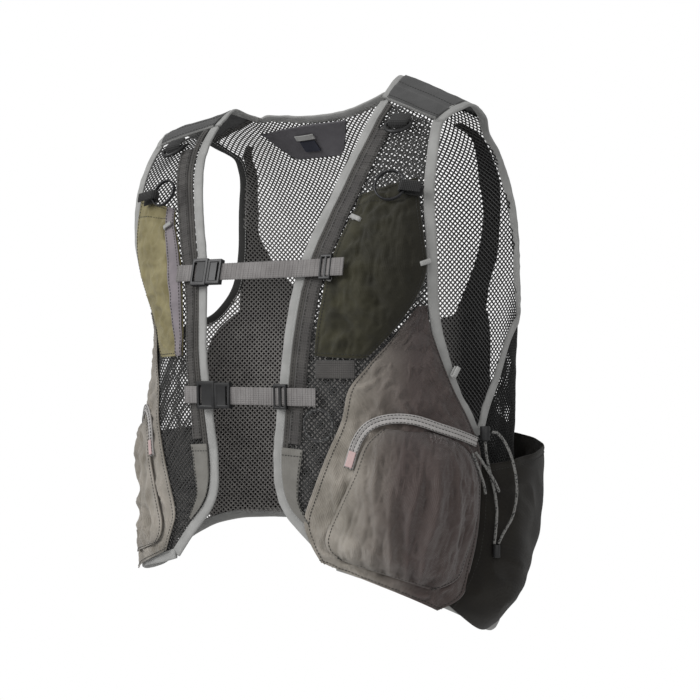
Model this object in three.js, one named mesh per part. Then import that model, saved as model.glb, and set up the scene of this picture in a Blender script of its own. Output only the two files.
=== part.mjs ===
// A sleeveless net utility vest, held up as it is worn, open at the front and closed by two straps.
// Millimetres, +Z up, -Y to the front, +X to the wearer's left. The origin lies between the two neck
// points of the shoulder ridge. Every cloth piece lies on one torso form, at its own height above it.
import * as THREE from 'three';

// Rows are written as plain numbers under their column names.
const table = (columns, ...rows) =>
  rows.map((row) => Object.fromEntries(columns.map((name, i) => [name, row[i]])));

// The torso form that the vest is worn on.
const NECK_HALF = 90;
const TIP_HALF = 167;
const TIP_DROP = 31;
const RIDGE_RUN = 1.4;
const RIDGE_FADE = 25;
const HALF_WIDTH = 186;
const WAIST = { from: -320, run: 160, taper: 9, power: 1.5 };
const SQUARE = { low: 2.7, gain: 4.5, from: -230, run: 190, power: 1.5 };
const FRONT_FORM = { depth: 119, full: 250, bow: 0.85, taper: 15 };
const REAR_FORM = { depth: 125, full: 220, bow: 0.55, taper: 20 };
const TAPER_RUN = 240;
const TAPER_POWER = 1.4;
const FORM_MIDDLE = new THREE.Vector3(0, 0, -230);

// How the cloth hangs away from the even form: each row moves what lies within its reach of a place.
const HANG = table(['x', 'y', 'z', 'reachX', 'reachY', 'reachZ', 'moveX', 'moveY', 'moveZ'],
  [-165, -70, -235, 80, 70, 95, 32, 4, 0],
  [-165, -60, -385, 60, 60, 62, 18, 0, 0],
  [-98, -100, -445, 58, 70, 55, 0, 0, -6],
  [-180, 22, -472, 60, 42, 60, 0, 0, 27],
  [180, -20, -470, 60, 70, 70, 0, 0, -9],
  [95, 0, 0, 50, 60, 60, 0, 0, 7],
  [158, 90, -140, 40, 60, 95, 6, 0, 0],
  [-165, 0, -35, 45, 60, 60, -10, 0, 8],
  [-150, 62, -48, 40, 50, 36, 15, 0, 0],
  [-88, 10, 0, 40, 60, 40, 0, 0, -6],
  [-55, -110, -190, 40, 50, 90, 4, 0, 0],
  [0, 45, -25, 80, 45, 50, -16, 0, 0],
  [-42, -118, -240, 45, 60, 75, -6, 0, 0],
  [48, -118, -240, 45, 60, 75, 4, 0, 0],
  [108, -62, -55, 50, 50, 55, 0, -6, 0],
  [-108, -62, -55, 50, 50, 55, 0, -5, 0],
  [115, 85, -58, 45, 45, 50, 0, 7, 0]);

// Cloth thicknesses and heights above the form.
const NET = 1.0;
const CLOTH = 1.2;
const WEB = 1.6;
const BINDING = { width: 9, thick: 2.4 };
const GAP = 0.35;
const ON_NET = NET / 2 + 0.9;

// Places on the form: turn in degrees from the centre front, round the wearer's left, to 180 behind.
const EDGES = ['inTurn', 'inLevel', 'outTurn', 'outLevel'];
const SEAM = { turn: 71, front: 70.8, back: 71.2, point: 13 };
const FRONT_ROWS = table(EDGES,
  [25.3, -26, 40.6, -51],
  [23.8, -66, 42.8, -82],
  [21.0, -104, 45.0, -116],
  [18.0, -138, 48.8, -154],
  [15.2, -168, 51.4, -184],
  [12.8, -206, 53.8, -212],
  [11.2, -250, 57.0, -240],
  [9.8, -295, 62.2, -275],
  [8.8, -335, 71.0, -309],
  [9.4, -362, 71.0, -350],
  [12.0, -381, 71.0, -390],
  [17.5, -399, 71.0, -425],
  [25.5, -424, 71.0, -461]);
const BACK_COLUMNS = table(['topTurn', 'topLevel', 'hemTurn', 'hemLevel'],
  [71.2, -309, 71.2, -461],
  [76.0, -286, 78.0, -467],
  [87.0, -258, 87.0, -475],
  [97.0, -230, 96.0, -477],
  [108.0, -214, 105.0, -467],
  [119.0, -207, 114.0, -450],
  [126.0, -192, 122.0, -433],
  [131.0, -172, 129.0, -425],
  [134.5, -140, 135.0, -421],
  [137.0, -105, 140.0, -420],
  [139.0, -72, 145.0, -419],
  [140.6, -44, 150.0, -419],
  [146.0, -28, 155.0, -418],
  [150.5, -20, 160.0, -418],
  [158.0, -6, 165.0, -418],
  [164.5, -8, 170.0, -417],
  [172.0, -11.5, 175.0, -417],
  [180.0, -12.5, 180.0, -417]);
const TIP_COLUMN = 11;
const NECK_COLUMN = 14;
const YOKE_ROWS = table(['rear', 'drop', 'neck', 'tip'],
  [false, 25, 88, 152],
  [false, 16, 88.7, 155.5],
  [false, 8, 89.4, 158.5],
  [false, 2.5, 90, 160.5],
  [true, 0, 90, 161],
  [true, 1.5, 88, 160],
  [true, 4, 83, 158.5],
  [true, 8, 75, 157]);

// Pockets, from the mouth or top edge down, with the height of the swell.
const CHEST_POCKET = {
  swell: { left: 11, right: 3 },
  lean: 1.4,
  rows: table(EDGES,
    [28.2, -114, 40.2, -101],
    [27.6, -128, 42.0, -124],
    [25.4, -150, 44.8, -150],
    [23.4, -175, 47.4, -178],
    [22.0, -205, 45.4, -203],
    [21.0, -227, 40.4, -228],
    [20.6, -247, 34.2, -249]),
};
const LOWER_POCKET = {
  swell: { left: 9, right: 1, turn: 50, turnRun: 19, level: -352, levelRun: 62 },
  overHem: { lift: 2.2, full: 18, run: 16 },
  rows: table(EDGES,
    [46.8, -206, 49.4, -206],
    [41.2, -232, 53.0, -236],
    [34.4, -256, 58.6, -273],
    [29.8, -275, 65.0, -302],
    [28.0, -300, 70.2, -327],
    [24.2, -328, 70.5, -354],
    [20.6, -357, 70.3, -390],
    [17.8, -384, 66.4, -424],
    [22.5, -418, 60.4, -457]),
};
const CARGO_POCKET = {
  swell: { left: 17, right: 5 },
  rows: table(EDGES,
    [38.6, -306, 51.0, -309],
    [34.2, -319, 61.5, -323],
    [31.4, -342, 67.4, -347],
    [28.0, -366, 67.6, -378],
    [24.4, -394, 63.6, -412],
    [25.8, -416, 58.0, -443]),
};
const BOTTLE_POCKET = {
  swell: 26,
  full: 5,
  sag: 41,
  rows: table(EDGES,
    [71.9, -338, 132.0, -318],
    [71.8, -372, 132.5, -352],
    [70.4, -410, 130.0, -386],
    [64.0, -447, 120.0, -410]),
};
const BACK_POCKET = {
  lift: 2.7,
  swell: 9,
  dip: 26,
  drop: 7,
  rows: table(EDGES,
    [143.2, -203.5, 228.4, -200.5],
    [141.2, -222, 234.0, -225],
    [140.4, -242, 238.0, -252],
    [140.0, -272, 239.0, -278],
    [138.0, -294, 236.0, -298],
    [135.4, -314, 227.0, -314],
    [135.4, -366, 226.6, -366],
    [132.4, -396, 229.0, -396],
    [130.0, -407, 230.0, -407]),
};
const ZIP_BAND = {
  width: 8,
  thick: 2,
  stations: table(['turn', 'level'],
    [30.0, -338], [32.2, -316], [35.4, -303], [40.5, -297.5], [46.5, -298.5], [54.0, -306], [67.0, -318]),
};
const BACK_BAND = {
  left: table(EDGES,
    [146.2, -33, 148.4, -33],
    [143.1, -44, 145.6, -44],
    [142.2, -62, 146.0, -62],
    [141.5, -80, 146.4, -80],
    [141.6, -96, 146.0, -96],
    [142.0, -120, 146.3, -120],
    [142.2, -150, 147.8, -150],
    [143.6, -178, 150.6, -178],
    [143.4, -201, 155.0, -201]),
  right: table(EDGES,
    [146.4, -33, 148.4, -33],
    [143.3, -44, 145.3, -44],
    [142.3, -62, 144.7, -62],
    [141.6, -80, 144.1, -80],
    [141.0, -96, 143.8, -96],
    [139.5, -120, 142.6, -120],
    [137.0, -150, 145.4, -150],
    [134.2, -178, 151.0, -178],
    [131.8, -198, 155.0, -198]),
};
const BAND_LIFT = 2.1;
// The right front hangs further round, so its low pockets lie closer to the side seam.
const RIGHT_CLOSER = 0.14;

// Strips beside the front edge, as distances in from that edge.
const FRONT_BAND = { from: 9.4, to: 14.4, thick: 1.0, start: 0.02, end: 0.74 };
const EDGE_WEB = { from: 14.8, to: 26.2, start: 0.06, end: 0.63 };
const EDGE_STATIONS = 16;

// Straps across the chest, webbing 15 wide, as places across the body.
const STRAP = { wide: 15, lift: 6.2, edge: 28, riseFrom: 60 };
const STRAPS = table(
  ['name', 'level', 'anchorRight', 'socket', 'plug', 'strap', 'slider', 'anchorLeft', 'end', 'rise'],
  ['upper', -174, -75, -56, -39.5, -25, 77, 88, 100, 8.5],
  ['lower', -281, -60, -43.5, -25, -9, 35, 48, 74, 0]);
const BUCKLE = { tall: 24, thick: 6.4, round: 2.5, slot: 3, bar: 2.2, notch: 3.2 };
const SLIDER = { tall: 21, thick: 4.2 };

// Tabs and rings: where the ring's bar lies, how long the doubled web is and which way it points.
const TAB_WEB = 1.4;
const RING = { bar: 2.6, tall: 15, wide: 24 };
const SIDE_RING = { radius: 14, bar: 2.6 };
const SHOULDER_TAB = { turn: 32.9, level: -55, long: 11, wide: 17.5, eye: 2.3, lean: 0, lift: 5.6 };
const SIDE_TAB = { turn: 38.6, level: -113, long: 15, wide: 9, eye: 3.2, lean: 90, lift: 11.6 };
const RIGHT_SIDE_TAB = { ...SIDE_TAB, turn: 33.6, level: -104 };

// Neck facing inside the back, and the loop and blank label on it.
const FACING = { middle: -31, topHalf: 43, lowHalf: 30, top: -18, low: -43, thick: 1.2, inside: 3.4 };
const HANG_LOOP = { half: 12.5, level: -25, tall: 4, thick: 1.2 };
const LABEL = { half: 10, top: -28.6, low: -38, thick: 0.8 };

// Cross webbing and the loop of round elastic below it.
const CROSS_WEB = { from: 20.9, to: 31.5, level: -258, tall: 15 };
const RING_LOOP = { turn: 22.0, level: -304, radius: 13, wire: 1.1, lift: 4 };

// Cords on the wearer's left: round elastic, each from the lock or the zip to its end.
const CORD = 2.4;
const CORD_SIDES = 8;
const LOCK = { at: [191.5, -44, -311], radius: 5, tall: 13 };
const CORD_END = { at: [196, -30.5, -410], radius: 3.2, tall: 11 };
const CORD_ROUTES = {
  cord_long: [[197.2, -42, -310], [200, -38, -311], [204, -32.5, -318], [207.5, -26, -331],
    [210, -22, -348], [210, -20.5, -365], [207, -22.5, -382], [201.5, -26.5, -394], [197.4, -29.4, -404]],
  cord_short: [[191.5, -43.6, -318], [192, -41.5, -331], [194, -38, -346], [196, -34, -361],
    [197, -32, -376], [196, -31.4, -391], [194.7, -31.6, -404]],
  zip_cord_long: [[188.5, -56, -326], [190.4, -52, -331], [193.6, -45.5, -340], [197, -38, -350],
    [199.6, -33, -360]],
  zip_cord_short: [[187, -59, -327], [188.4, -56, -333], [190.4, -51.6, -343], [192, -47.6, -353],
    [192.6, -45.6, -361]],
};

const MATERIALS = {
  net: { color: 0x3a3a3a, roughness: 0.85 },
  binding: { color: 0xbebebc, roughness: 0.7 },
  yoke: { color: 0x555555, roughness: 0.8 },
  band: { color: 0x5a5a5a, roughness: 0.8 },
  webbing: { color: 0x6e6c6c, roughness: 0.75 },
  olive: { color: 0x3e3e30, roughness: 0.7 },
  khaki: { color: 0x827d5f, roughness: 0.7 },
  taupe: { color: 0x69675c, roughness: 0.6 },
  facing: { color: 0x484649, roughness: 0.8 },
  plastic: { color: 0x161616, roughness: 0.45 },
  steel: { color: 0x8f9092, roughness: 0.3, metalness: 0.9 },
  cord: { color: 0x222222, roughness: 0.7 },
};

const vest = new THREE.Group();
const { clamp, lerp, degToRad, radToDeg } = THREE.MathUtils;
const vector = (x, y, z) => new THREE.Vector3(x, y, z);

function add(name, geometry, material) {
  const mesh = new THREE.Mesh(geometry, new THREE.MeshStandardMaterial(MATERIALS[material]));
  mesh.name = name;
  vest.add(mesh);
  return mesh;
}

// The form: the level of the shoulder ridge, the half width, the depth and a point by turn and level.
function ridgeLevel(x) {
  return -TIP_DROP * clamp((Math.abs(x) - NECK_HALF) / (TIP_HALF - NECK_HALF), 0, RIDGE_RUN);
}

function halfWidth(level) {
  return HALF_WIDTH - WAIST.taper * (Math.max(WAIST.from - level, 0) / WAIST.run) ** WAIST.power;
}

function squareness(level) {
  return SQUARE.low + SQUARE.gain * clamp((level - SQUARE.from) / SQUARE.run, 0, 1) ** SQUARE.power;
}

function formDepth(profile, drop) {
  const rise = 1 - (1 - clamp(drop / profile.full, 0, 1)) ** 2;
  const past = Math.max(drop - profile.full, 0) / TAPER_RUN;
  return profile.depth * rise ** profile.bow - profile.taper * past ** TAPER_POWER;
}

function hung(point) {
  const at = point.clone();
  for (const { x, y, z, reachX, reachY, reachZ, moveX, moveY, moveZ } of HANG) {
    const away = ((at.x - x) / reachX) ** 2 + ((at.y - y) / reachY) ** 2 + ((at.z - z) / reachZ) ** 2;
    point.addScaledVector(vector(moveX, moveY, moveZ), Math.exp(-away));
  }
  return point;
}

function formPoint(turn, level) {
  const angle = degToRad(turn);
  const power = squareness(level);
  const across = Math.sin(angle);
  const along = Math.cos(angle);
  const radius = (Math.abs(across) ** power + Math.abs(along) ** power) ** (-1 / power);
  const x = halfWidth(level) * radius * across;
  const ridge = ridgeLevel(x);
  const drop = -level + ridge * Math.exp(-Math.max(ridge - level, 0) / RIDGE_FADE);
  const depth = formDepth(along >= 0 ? FRONT_FORM : REAR_FORM, drop);
  return hung(vector(x, -Math.sign(along) * depth * radius * Math.abs(along), level));
}

// The turn at which the form has a given place across the body.
function turnAt(x, level, rear) {
  const power = squareness(level);
  const share = Math.min(Math.abs(x) / halfWidth(level), 0.9999);
  const turn = radToDeg(Math.atan(share / (1 - share ** power) ** (1 / power)));
  return Math.sign(x) * (rear ? 180 - turn : turn);
}

// Directions on the form: round the body, up along the cloth, and out of it.
function formFrame(turn, level) {
  const at = formPoint(turn, level);
  const round = formPoint(turn + 0.5, level).sub(formPoint(turn - 0.5, level));
  const up = at.clone().sub(formPoint(turn, level - 2)).divideScalar(2);
  const out = round.clone().cross(up).normalize();
  return { at, round, up, out };
}

// A closed body through a row of section loops. Point k of a loop faces its point size - 1 - k, so
// an open row ends in a ladder of faces between the two. The faces are turned to point out.
function loft(loops, closed = false) {
  const size = loops[0].length;
  const faces = [];
  const quad = (a, b, c, d) => faces.push([a, b, c], [a, c, d]);
  const spans = closed ? loops.length : loops.length - 1;
  for (let i = 0; i < spans; i += 1) {
    const here = i * size;
    const next = ((i + 1) % loops.length) * size;
    for (let k = 0; k < size; k += 1) {
      const step = (k + 1) % size;
      quad(here + k, here + step, next + step, next + k);
    }
  }
  if (!closed) {
    const last = (loops.length - 1) * size;
    for (let k = 0; k < size / 2 - 1; k += 1) {
      quad(size - 1 - k, size - 2 - k, k + 1, k);
      quad(last + k, last + k + 1, last + size - 2 - k, last + size - 1 - k);
    }
  }
  const points = loops.flat();
  const volume = faces.reduce((sum, [a, b, c]) =>
    sum + points[a].dot(points[b].clone().cross(points[c])), 0);
  const index = faces.flatMap(([a, b, c]) => (volume < 0 ? [a, c, b] : [a, b, c]));
  const geometry = new THREE.BufferGeometry();
  geometry.setAttribute('position', new THREE.Float32BufferAttribute(points.flatMap((p) => p.toArray()), 3));
  geometry.setIndex(index);
  geometry.computeVertexNormals();
  return geometry;
}

// The outward direction at each point of a grid of points, from its neighbours.
function gridNormals(grid) {
  const lastRow = grid.length - 1;
  return grid.map((row, i) => row.map((point, j) => {
    const down = grid[Math.min(i + 1, lastRow)][j].clone().sub(grid[Math.max(i - 1, 0)][j]);
    const side = row[Math.min(j + 1, row.length - 1)].clone().sub(row[Math.max(j - 1, 0)]);
    const normal = down.cross(side).normalize();
    return normal.dot(point.clone().sub(FORM_MIDDLE)) < 0 ? normal.negate() : normal;
  }));
}

// A sheet of cloth on a grid of points: its underside lies at height(i, j), its top thick above that.
function sheet(grid, height, thick) {
  const normals = gridNormals(grid);
  const lifted = (i, j, extra) => grid[i][j].clone().addScaledVector(normals[i][j], height(i, j) + extra);
  return loft(grid.map((row, i) => [
    ...row.map((_, j) => lifted(i, j, thick)),
    ...row.map((_, j) => lifted(i, row.length - 1 - j, 0)),
  ]));
}

// A flat tape between two rows of points, half its thickness to each side of them.
function tape(outer, inner, thick, closed = false) {
  const half = thick / 2;
  const last = outer.length - 1;
  const loops = outer.map((edge, i) => {
    const before = closed ? (i + last) % (last + 1) : Math.max(i - 1, 0);
    const after = closed ? (i + 1) % (last + 1) : Math.min(i + 1, last);
    const along = outer[after].clone().sub(outer[before]);
    const out = inner[i].clone().sub(edge).cross(along).normalize();
    if (out.dot(edge.clone().sub(FORM_MIDDLE)) < 0) out.negate();
    const lift = (point, height) => point.clone().addScaledVector(out, height);
    return [lift(edge, half), lift(inner[i], half), lift(inner[i], -half), lift(edge, -half)];
  });
  return loft(loops, closed);
}

// Spline places along a table's columns, as turn and level.
function places(rows, turnColumn, levelColumn, count) {
  const knots = rows.map((row) => new THREE.Vector2(row[turnColumn], row[levelColumn]));
  const curve = new THREE.SplineCurve(knots);
  return Array.from({ length: count + 1 }, (_, i) => {
    const { x, y } = curve.getPoint(i / count);
    return { turn: x, level: y };
  });
}

// Places moved sideways from a row of places by a distance along the cloth; turnSign picks the side.
function inset(row, distance, turnSign) {
  return row.map((place, i) => {
    const { round, up, out } = formFrame(place.turn, place.level);
    const before = row[Math.max(i - 1, 0)];
    const after = row[Math.min(i + 1, row.length - 1)];
    const along = formPoint(after.turn, after.level).sub(formPoint(before.turn, before.level));
    const way = out.clone().cross(along).normalize().multiplyScalar(turnSign * distance);
    return {
      turn: place.turn + way.dot(round) / round.lengthSq(),
      level: place.level + way.dot(up) / up.lengthSq(),
    };
  });
}

const mirrored = (side, row) => row.map(({ turn, level }) => ({ turn: side * turn, level }));
const pointsOf = (row) => row.map(({ turn, level }) => formPoint(turn, level));

// The patch between two rows of places, as a grid of places.
function patch(left, right, columns, power = 1) {
  return left.map((place, i) => Array.from({ length: columns + 1 }, (_, j) => ({
    turn: lerp(place.turn, right[i].turn, (j / columns) ** power),
    level: lerp(place.level, right[i].level, (j / columns) ** power),
  })));
}

const SIDES = { left: 1, right: -1 };
const sides = Object.entries(SIDES);
const FRONT_COUNT = 24;
const FRONT_COLUMNS = 8;
const BACK_STEPS = 1;
const BACK_LEVELS = 8;
const BACK_FINE_TOP = 1.4;
const SHARP_CLEAR = 1;
const YOKE_COLUMNS = 6;

// Garment edges as places, on the wearer's left.
const frontEdge = places(FRONT_ROWS, 'inTurn', 'inLevel', FRONT_COUNT);
const armholeFront = places(FRONT_ROWS, 'outTurn', 'outLevel', FRONT_COUNT);
const backTop = places(BACK_COLUMNS, 'topTurn', 'topLevel', (BACK_COLUMNS.length - 1) * BACK_STEPS);
const backHem = places(BACK_COLUMNS, 'hemTurn', 'hemLevel', (BACK_COLUMNS.length - 1) * BACK_STEPS);
const seamRow = FRONT_ROWS.findIndex((row) => row.outTurn === SEAM.turn);
const armholeEnd = seamRow * (FRONT_COUNT / (FRONT_ROWS.length - 1));
const tipEnd = TIP_COLUMN * BACK_STEPS;
const neckEnd = NECK_COLUMN * BACK_STEPS;

// Net panels stop short of the bindings that run along their edges.
const reachIn = BINDING.width + GAP;

const YOKE_SEAM = YOKE_ROWS[0];
const YOKE_REAR = YOKE_ROWS.at(-1);

// A place on the yoke or its seam, by the share of the way from the neck to the tip.
function seamPlace(row, share) {
  const margin = (reachIn + GAP) / (row.tip - row.neck);
  const x = lerp(row.neck, row.tip, lerp(margin, 1 - margin, share));
  const level = ridgeLevel(x) - row.drop;
  return { turn: turnAt(x, level, row.rear), level };
}

// The hem of the front, from its corner to the side seam, and the point where the armhole meets that seam.
const frontHem = patch([frontEdge.at(-1)], [armholeFront.at(-1)], FRONT_COLUMNS)[0];
const seamPoint = (turn, margin) => ({ turn, level: armholeFront[armholeEnd].level - margin });
const seamHem = (turn, margin) => ({ turn, level: backHem[0].level + margin });

function frontGrid() {
  const inner = inset(frontEdge, reachIn, 1);
  const armholeIn = inset(armholeFront, reachIn, -1);
  const outer = armholeFront.map((place, i) =>
    (i < armholeEnd ? armholeIn[i] : { ...place, turn: SEAM.front }));
  outer[armholeEnd] = seamPoint(SEAM.front, SEAM.point + GAP);
  const grid = patch(inner, outer, FRONT_COLUMNS);
  grid[0] = grid[0].map((_, j) => seamPlace({ ...YOKE_SEAM, drop: YOKE_SEAM.drop + GAP }, j / FRONT_COLUMNS));
  grid[FRONT_COUNT] = inset(frontHem, reachIn + GAP, 1);
  grid[FRONT_COUNT][0] = inset(frontEdge, reachIn + GAP, 1).at(-1);
  grid[FRONT_COUNT][FRONT_COLUMNS] = seamHem(SEAM.front, reachIn + GAP);
  return grid;
}

function frontPanel(name, side) {
  const grid = frontGrid().map((row) => pointsOf(mirrored(side, row)));
  add(`front_panel_${name}`, sheet(grid, () => -NET / 2, NET), 'net');
}

// The back, from one side seam round to the other: columns from its top edge down to its hem.
function backPanel() {
  const top = inset(backTop, reachIn, -1);
  const sharp = inset(backTop, reachIn + SHARP_CLEAR, -1);
  for (let i = tipEnd - 2; i < tipEnd; i += 1) top[i] = sharp[i];
  top[0] = seamPoint(SEAM.back, SEAM.point + GAP);
  const hem = inset(backHem, reachIn, 1);
  hem[0] = seamHem(SEAM.back, reachIn + GAP);
  for (let i = tipEnd; i <= neckEnd; i += 1) {
    top[i] = seamPlace({ ...YOKE_REAR, drop: YOKE_REAR.drop + GAP }, (neckEnd - i) / (neckEnd - tipEnd));
  }
  const half = patch(top, hem, BACK_LEVELS, BACK_FINE_TOP);
  const other = half.slice(0, -1).reverse().map((column) =>
    column.map(({ turn, level }) => ({ turn: 360 - turn, level })));
  const grid = [...half, ...other].map(pointsOf);
  add('back_panel', sheet(grid, () => -NET / 2, NET), 'net');
}

// A yoke over the shoulder ridge, from its front seam to its rear seam.
function yoke(name, side) {
  const ends = [0, YOKE_ROWS.length - 1];
  const grid = YOKE_ROWS.map((row, i) => {
    const drop = row.drop - (ends.includes(i) ? GAP : 0);
    return pointsOf(mirrored(side, Array.from({ length: YOKE_COLUMNS + 1 }, (_, j) =>
      seamPlace({ ...row, drop }, j / YOKE_COLUMNS))));
  });
  add(`yoke_${name}`, sheet(grid, () => -CLOTH / 2, CLOTH), 'yoke');
}

// Points of the two free edges of a yoke, and the same edge moved in by the width of its binding.
function yokeEdgePoint(side, row, column, into, lower = 0) {
  const x = row[column] + into;
  const level = ridgeLevel(x) - row.drop - lower;
  return formPoint(side * turnAt(x, level, row.rear), level);
}

const yokeEdge = (side, column, into) => YOKE_ROWS.map((row) => yokeEdgePoint(side, row, column, into));

function bindings() {
  const { width, thick } = BINDING;
  const neckIn = inset(backTop, width, -1).slice(neckEnd + 1);
  const armIn = inset(backTop, width, -1).slice(0, tipEnd);
  const armFront = armholeFront.slice(0, armholeEnd + 1);
  const armFrontIn = inset(armholeFront, width, -1).slice(0, armholeEnd);
  armFrontIn.push(seamPoint(SEAM.front, SEAM.point));
  for (const [name, side] of sides) {
    const edge = pointsOf(mirrored(side, frontEdge));
    const inner = pointsOf(mirrored(side, inset(frontEdge, width, 1)));
    edge[0] = yokeEdgePoint(side, YOKE_SEAM, 'neck', 0, GAP);
    inner[0] = yokeEdgePoint(side, YOKE_SEAM, 'neck', width, GAP);
    add(`binding_front_${name}`, tape(edge, inner, thick), 'binding');
    const loop = (front, tip, back) => [...pointsOf(mirrored(side, front)).reverse(), ...tip.slice(1),
      ...pointsOf(mirrored(side, back)).reverse()];
    const outer = loop(armFront, yokeEdge(side, 'tip', 0), backTop.slice(1, tipEnd));
    const into = loop(armFrontIn, yokeEdge(side, 'tip', -width), armIn.slice(1));
    add(`binding_armhole_${name}`, tape(outer, into, thick, true), 'binding');
  }
  const across = (row) => [...row.slice(0, -1), ...mirrored(-1, row).reverse()];
  const collar = (into, row) => [...yokeEdge(1, 'neck', into), ...pointsOf(across(row)),
    ...yokeEdge(-1, 'neck', into).reverse()];
  add('binding_neck', tape(collar(0, backTop.slice(neckEnd + 1)), collar(width, neckIn), thick), 'binding');
}

function hemBinding() {
  const half = [...frontHem, ...backHem.slice(1)];
  const inner = inset(half, BINDING.width, 1);
  inner[FRONT_COLUMNS] = seamHem(SEAM.front, BINDING.width);
  const clear = ({ turn, level }) => ({ turn: turn + 0.3, level: level - 0.2 });
  half[0] = clear(frontEdge.at(-1));
  inner[0] = clear(inset(frontEdge, BINDING.width, 1).at(-1));
  const round = (row) => [...row, ...row.slice(0, -1).reverse().map(({ turn, level }) =>
    ({ turn: 360 - turn, level }))];
  add('binding_hem', tape(pointsOf(round(half)), pointsOf(round(inner)), BINDING.thick), 'binding');
}

// Strips along the front edge: a plain band, and webbing beside it.
function edgeStrip(name, side, strip, height, thick, material) {
  const count = EDGE_STATIONS;
  const curve = new THREE.SplineCurve(frontEdge.map(({ turn, level }) => new THREE.Vector2(turn, level)));
  const row = Array.from({ length: count + 1 }, (_, i) => {
    const { x, y } = curve.getPoint(lerp(strip.start, strip.end, i / count));
    return { turn: x, level: y };
  });
  const grid = [strip.from, (strip.from + strip.to) / 2, strip.to].map((distance) =>
    mirrored(side, inset(row, distance, 1)));
  const points = row.map((_, i) => grid.map((line) => formPoint(line[i].turn, line[i].level)));
  add(`${name}`, sheet(points, () => height, thick), material);
}

// Pocket sheets. A dome of height one inside a patch, zero along its four edges.
const dome = (u, v) => Math.sin(Math.PI * u) ** 0.7 * Math.sin(Math.PI * v) ** 0.7;

function pocketGrid(pocket, rows, columns) {
  const inner = places(pocket.rows, 'inTurn', 'inLevel', rows);
  const outer = places(pocket.rows, 'outTurn', 'outLevel', rows);
  return patch(inner, outer, columns);
}

function pocketSheet(name, side, grid, height, material) {
  const points = grid.map((row) => pointsOf(mirrored(side, row)));
  add(name, sheet(points, height, CLOTH), material);
}

function chestPocket(name, side) {
  const rows = 9;
  const columns = 7;
  pocketSheet(`chest_pocket_${name}`, side, pocketGrid(CHEST_POCKET, rows, columns),
    (i, j) => ON_NET + CHEST_POCKET.swell[name] * dome((j / columns) ** CHEST_POCKET.lean, i / rows),
    side > 0 ? 'olive' : 'khaki');
}

// The lower pocket swells in its middle and is lifted where it hangs over the bound hem.
function lowerSwell(name, { turn, level }) {
  const { turn: middle, turnRun, level: heart, levelRun } = LOWER_POCKET.swell;
  const away = ((turn - middle) / turnRun) ** 2 + ((level - heart) / levelRun) ** 2;
  const [corner, seam] = [frontHem[0], frontHem.at(-1)];
  const hem = lerp(corner.level, seam.level, (turn - corner.turn) / (seam.turn - corner.turn));
  const { lift, full, run } = LOWER_POCKET.overHem;
  return LOWER_POCKET.swell[name] * Math.exp(-away) + lift * clamp((full + run + hem - level) / run, 0, 1);
}

const closer = (side, { turn, level }) =>
  ({ turn: side > 0 ? turn : lerp(turn, SEAM.turn - 0.5, RIGHT_CLOSER), level });

function lowerPocket(name, side) {
  const grid = pocketGrid(LOWER_POCKET, 11, 8).map((row) => row.map((place) => closer(side, place)));
  pocketSheet(`lower_pocket_${name}`, side, grid, (i, j) => ON_NET + lowerSwell(name, grid[i][j]), 'taupe');
}

function cargoPocket(name, side) {
  const rows = 9;
  const columns = 8;
  const grid = pocketGrid(CARGO_POCKET, rows, columns).map((row) => row.map((place) => closer(side, place)));
  const base = ON_NET + CLOTH + 1;
  pocketSheet(`cargo_pocket_${name}`, side, grid,
    (i, j) => base + lowerSwell(name, grid[i][j]) + CARGO_POCKET.swell[name] * dome(j / columns, i / rows),
    'taupe');
}

function zipBand(name, side) {
  const { width, thick, stations } = ZIP_BAND;
  const row = places(stations, 'turn', 'level', 14).map((place) => closer(side, place));
  const lines = [0, 1].map((k) => inset(row, (k - 0.5) * width, 1));
  const points = row.map((_, i) => lines.map((line) => formPoint(side * line[i].turn, line[i].level)));
  const height = (i, j) => ON_NET + CLOTH + 1 + lowerSwell(name, lines[j][i]);
  add(`zip_band_${name}`, sheet(points, height, thick), 'binding');
}

// The bottle pocket hangs open at its mouth and closes on the hem.
function bottlePocket(name, side) {
  const rows = 8;
  const columns = 10;
  const grid = pocketGrid(BOTTLE_POCKET, rows, columns).map((row, i) => row.map((place, j) => ({
    turn: place.turn,
    level: place.level - BOTTLE_POCKET.sag * Math.sin(Math.PI * j / columns) * (i / rows) ** 3,
  })));
  const height = (i, j) => ON_NET + BOTTLE_POCKET.swell * Math.sin(Math.PI * j / columns) ** 0.8
    * Math.cos((Math.PI / 2) * (i / rows) ** BOTTLE_POCKET.full);
  pocketSheet(`bottle_pocket_${name}`, side, grid, height, 'olive');
}

// The back pocket and the two bands that carry it from the shoulders.
function backPocket() {
  const rows = 8;
  const columns = 12;
  const grid = pocketGrid(BACK_POCKET, rows, columns).map((row, i) => row.map(({ turn, level }, j) => {
    const middle = Math.sin(Math.PI * j / columns) ** 2;
    const drop = BACK_POCKET.drop * (1 - middle) * (i / rows) ** 3;
    return { turn, level: level - BACK_POCKET.dip * middle * (1 - i / rows) - drop };
  }));
  pocketSheet('back_pocket', 1, grid,
    (i, j) => BACK_POCKET.lift + BACK_POCKET.swell * dome(j / columns, i / rows), 'olive');
}

function backBand(name, side) {
  const grid = pocketGrid({ rows: BACK_BAND[name] }, 12, 3);
  pocketSheet(`back_band_${name}`, side, grid, () => BAND_LIFT, 'olive');
}

// Pieces inside the back of the neck.
function insideBack(name, left, right, top, low, depth, thick, columns, rows, material) {
  const grid = Array.from({ length: rows + 1 }, (_, i) => Array.from({ length: columns + 1 }, (__, j) => {
    const v = i / rows;
    const level = lerp(top, low, v);
    const x = lerp(lerp(left[0], left[1], v), lerp(right[0], right[1], v), j / columns);
    return formPoint(turnAt(x, level, true), level);
  }));
  add(name, sheet(grid, () => -depth - thick, thick), material);
}

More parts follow.
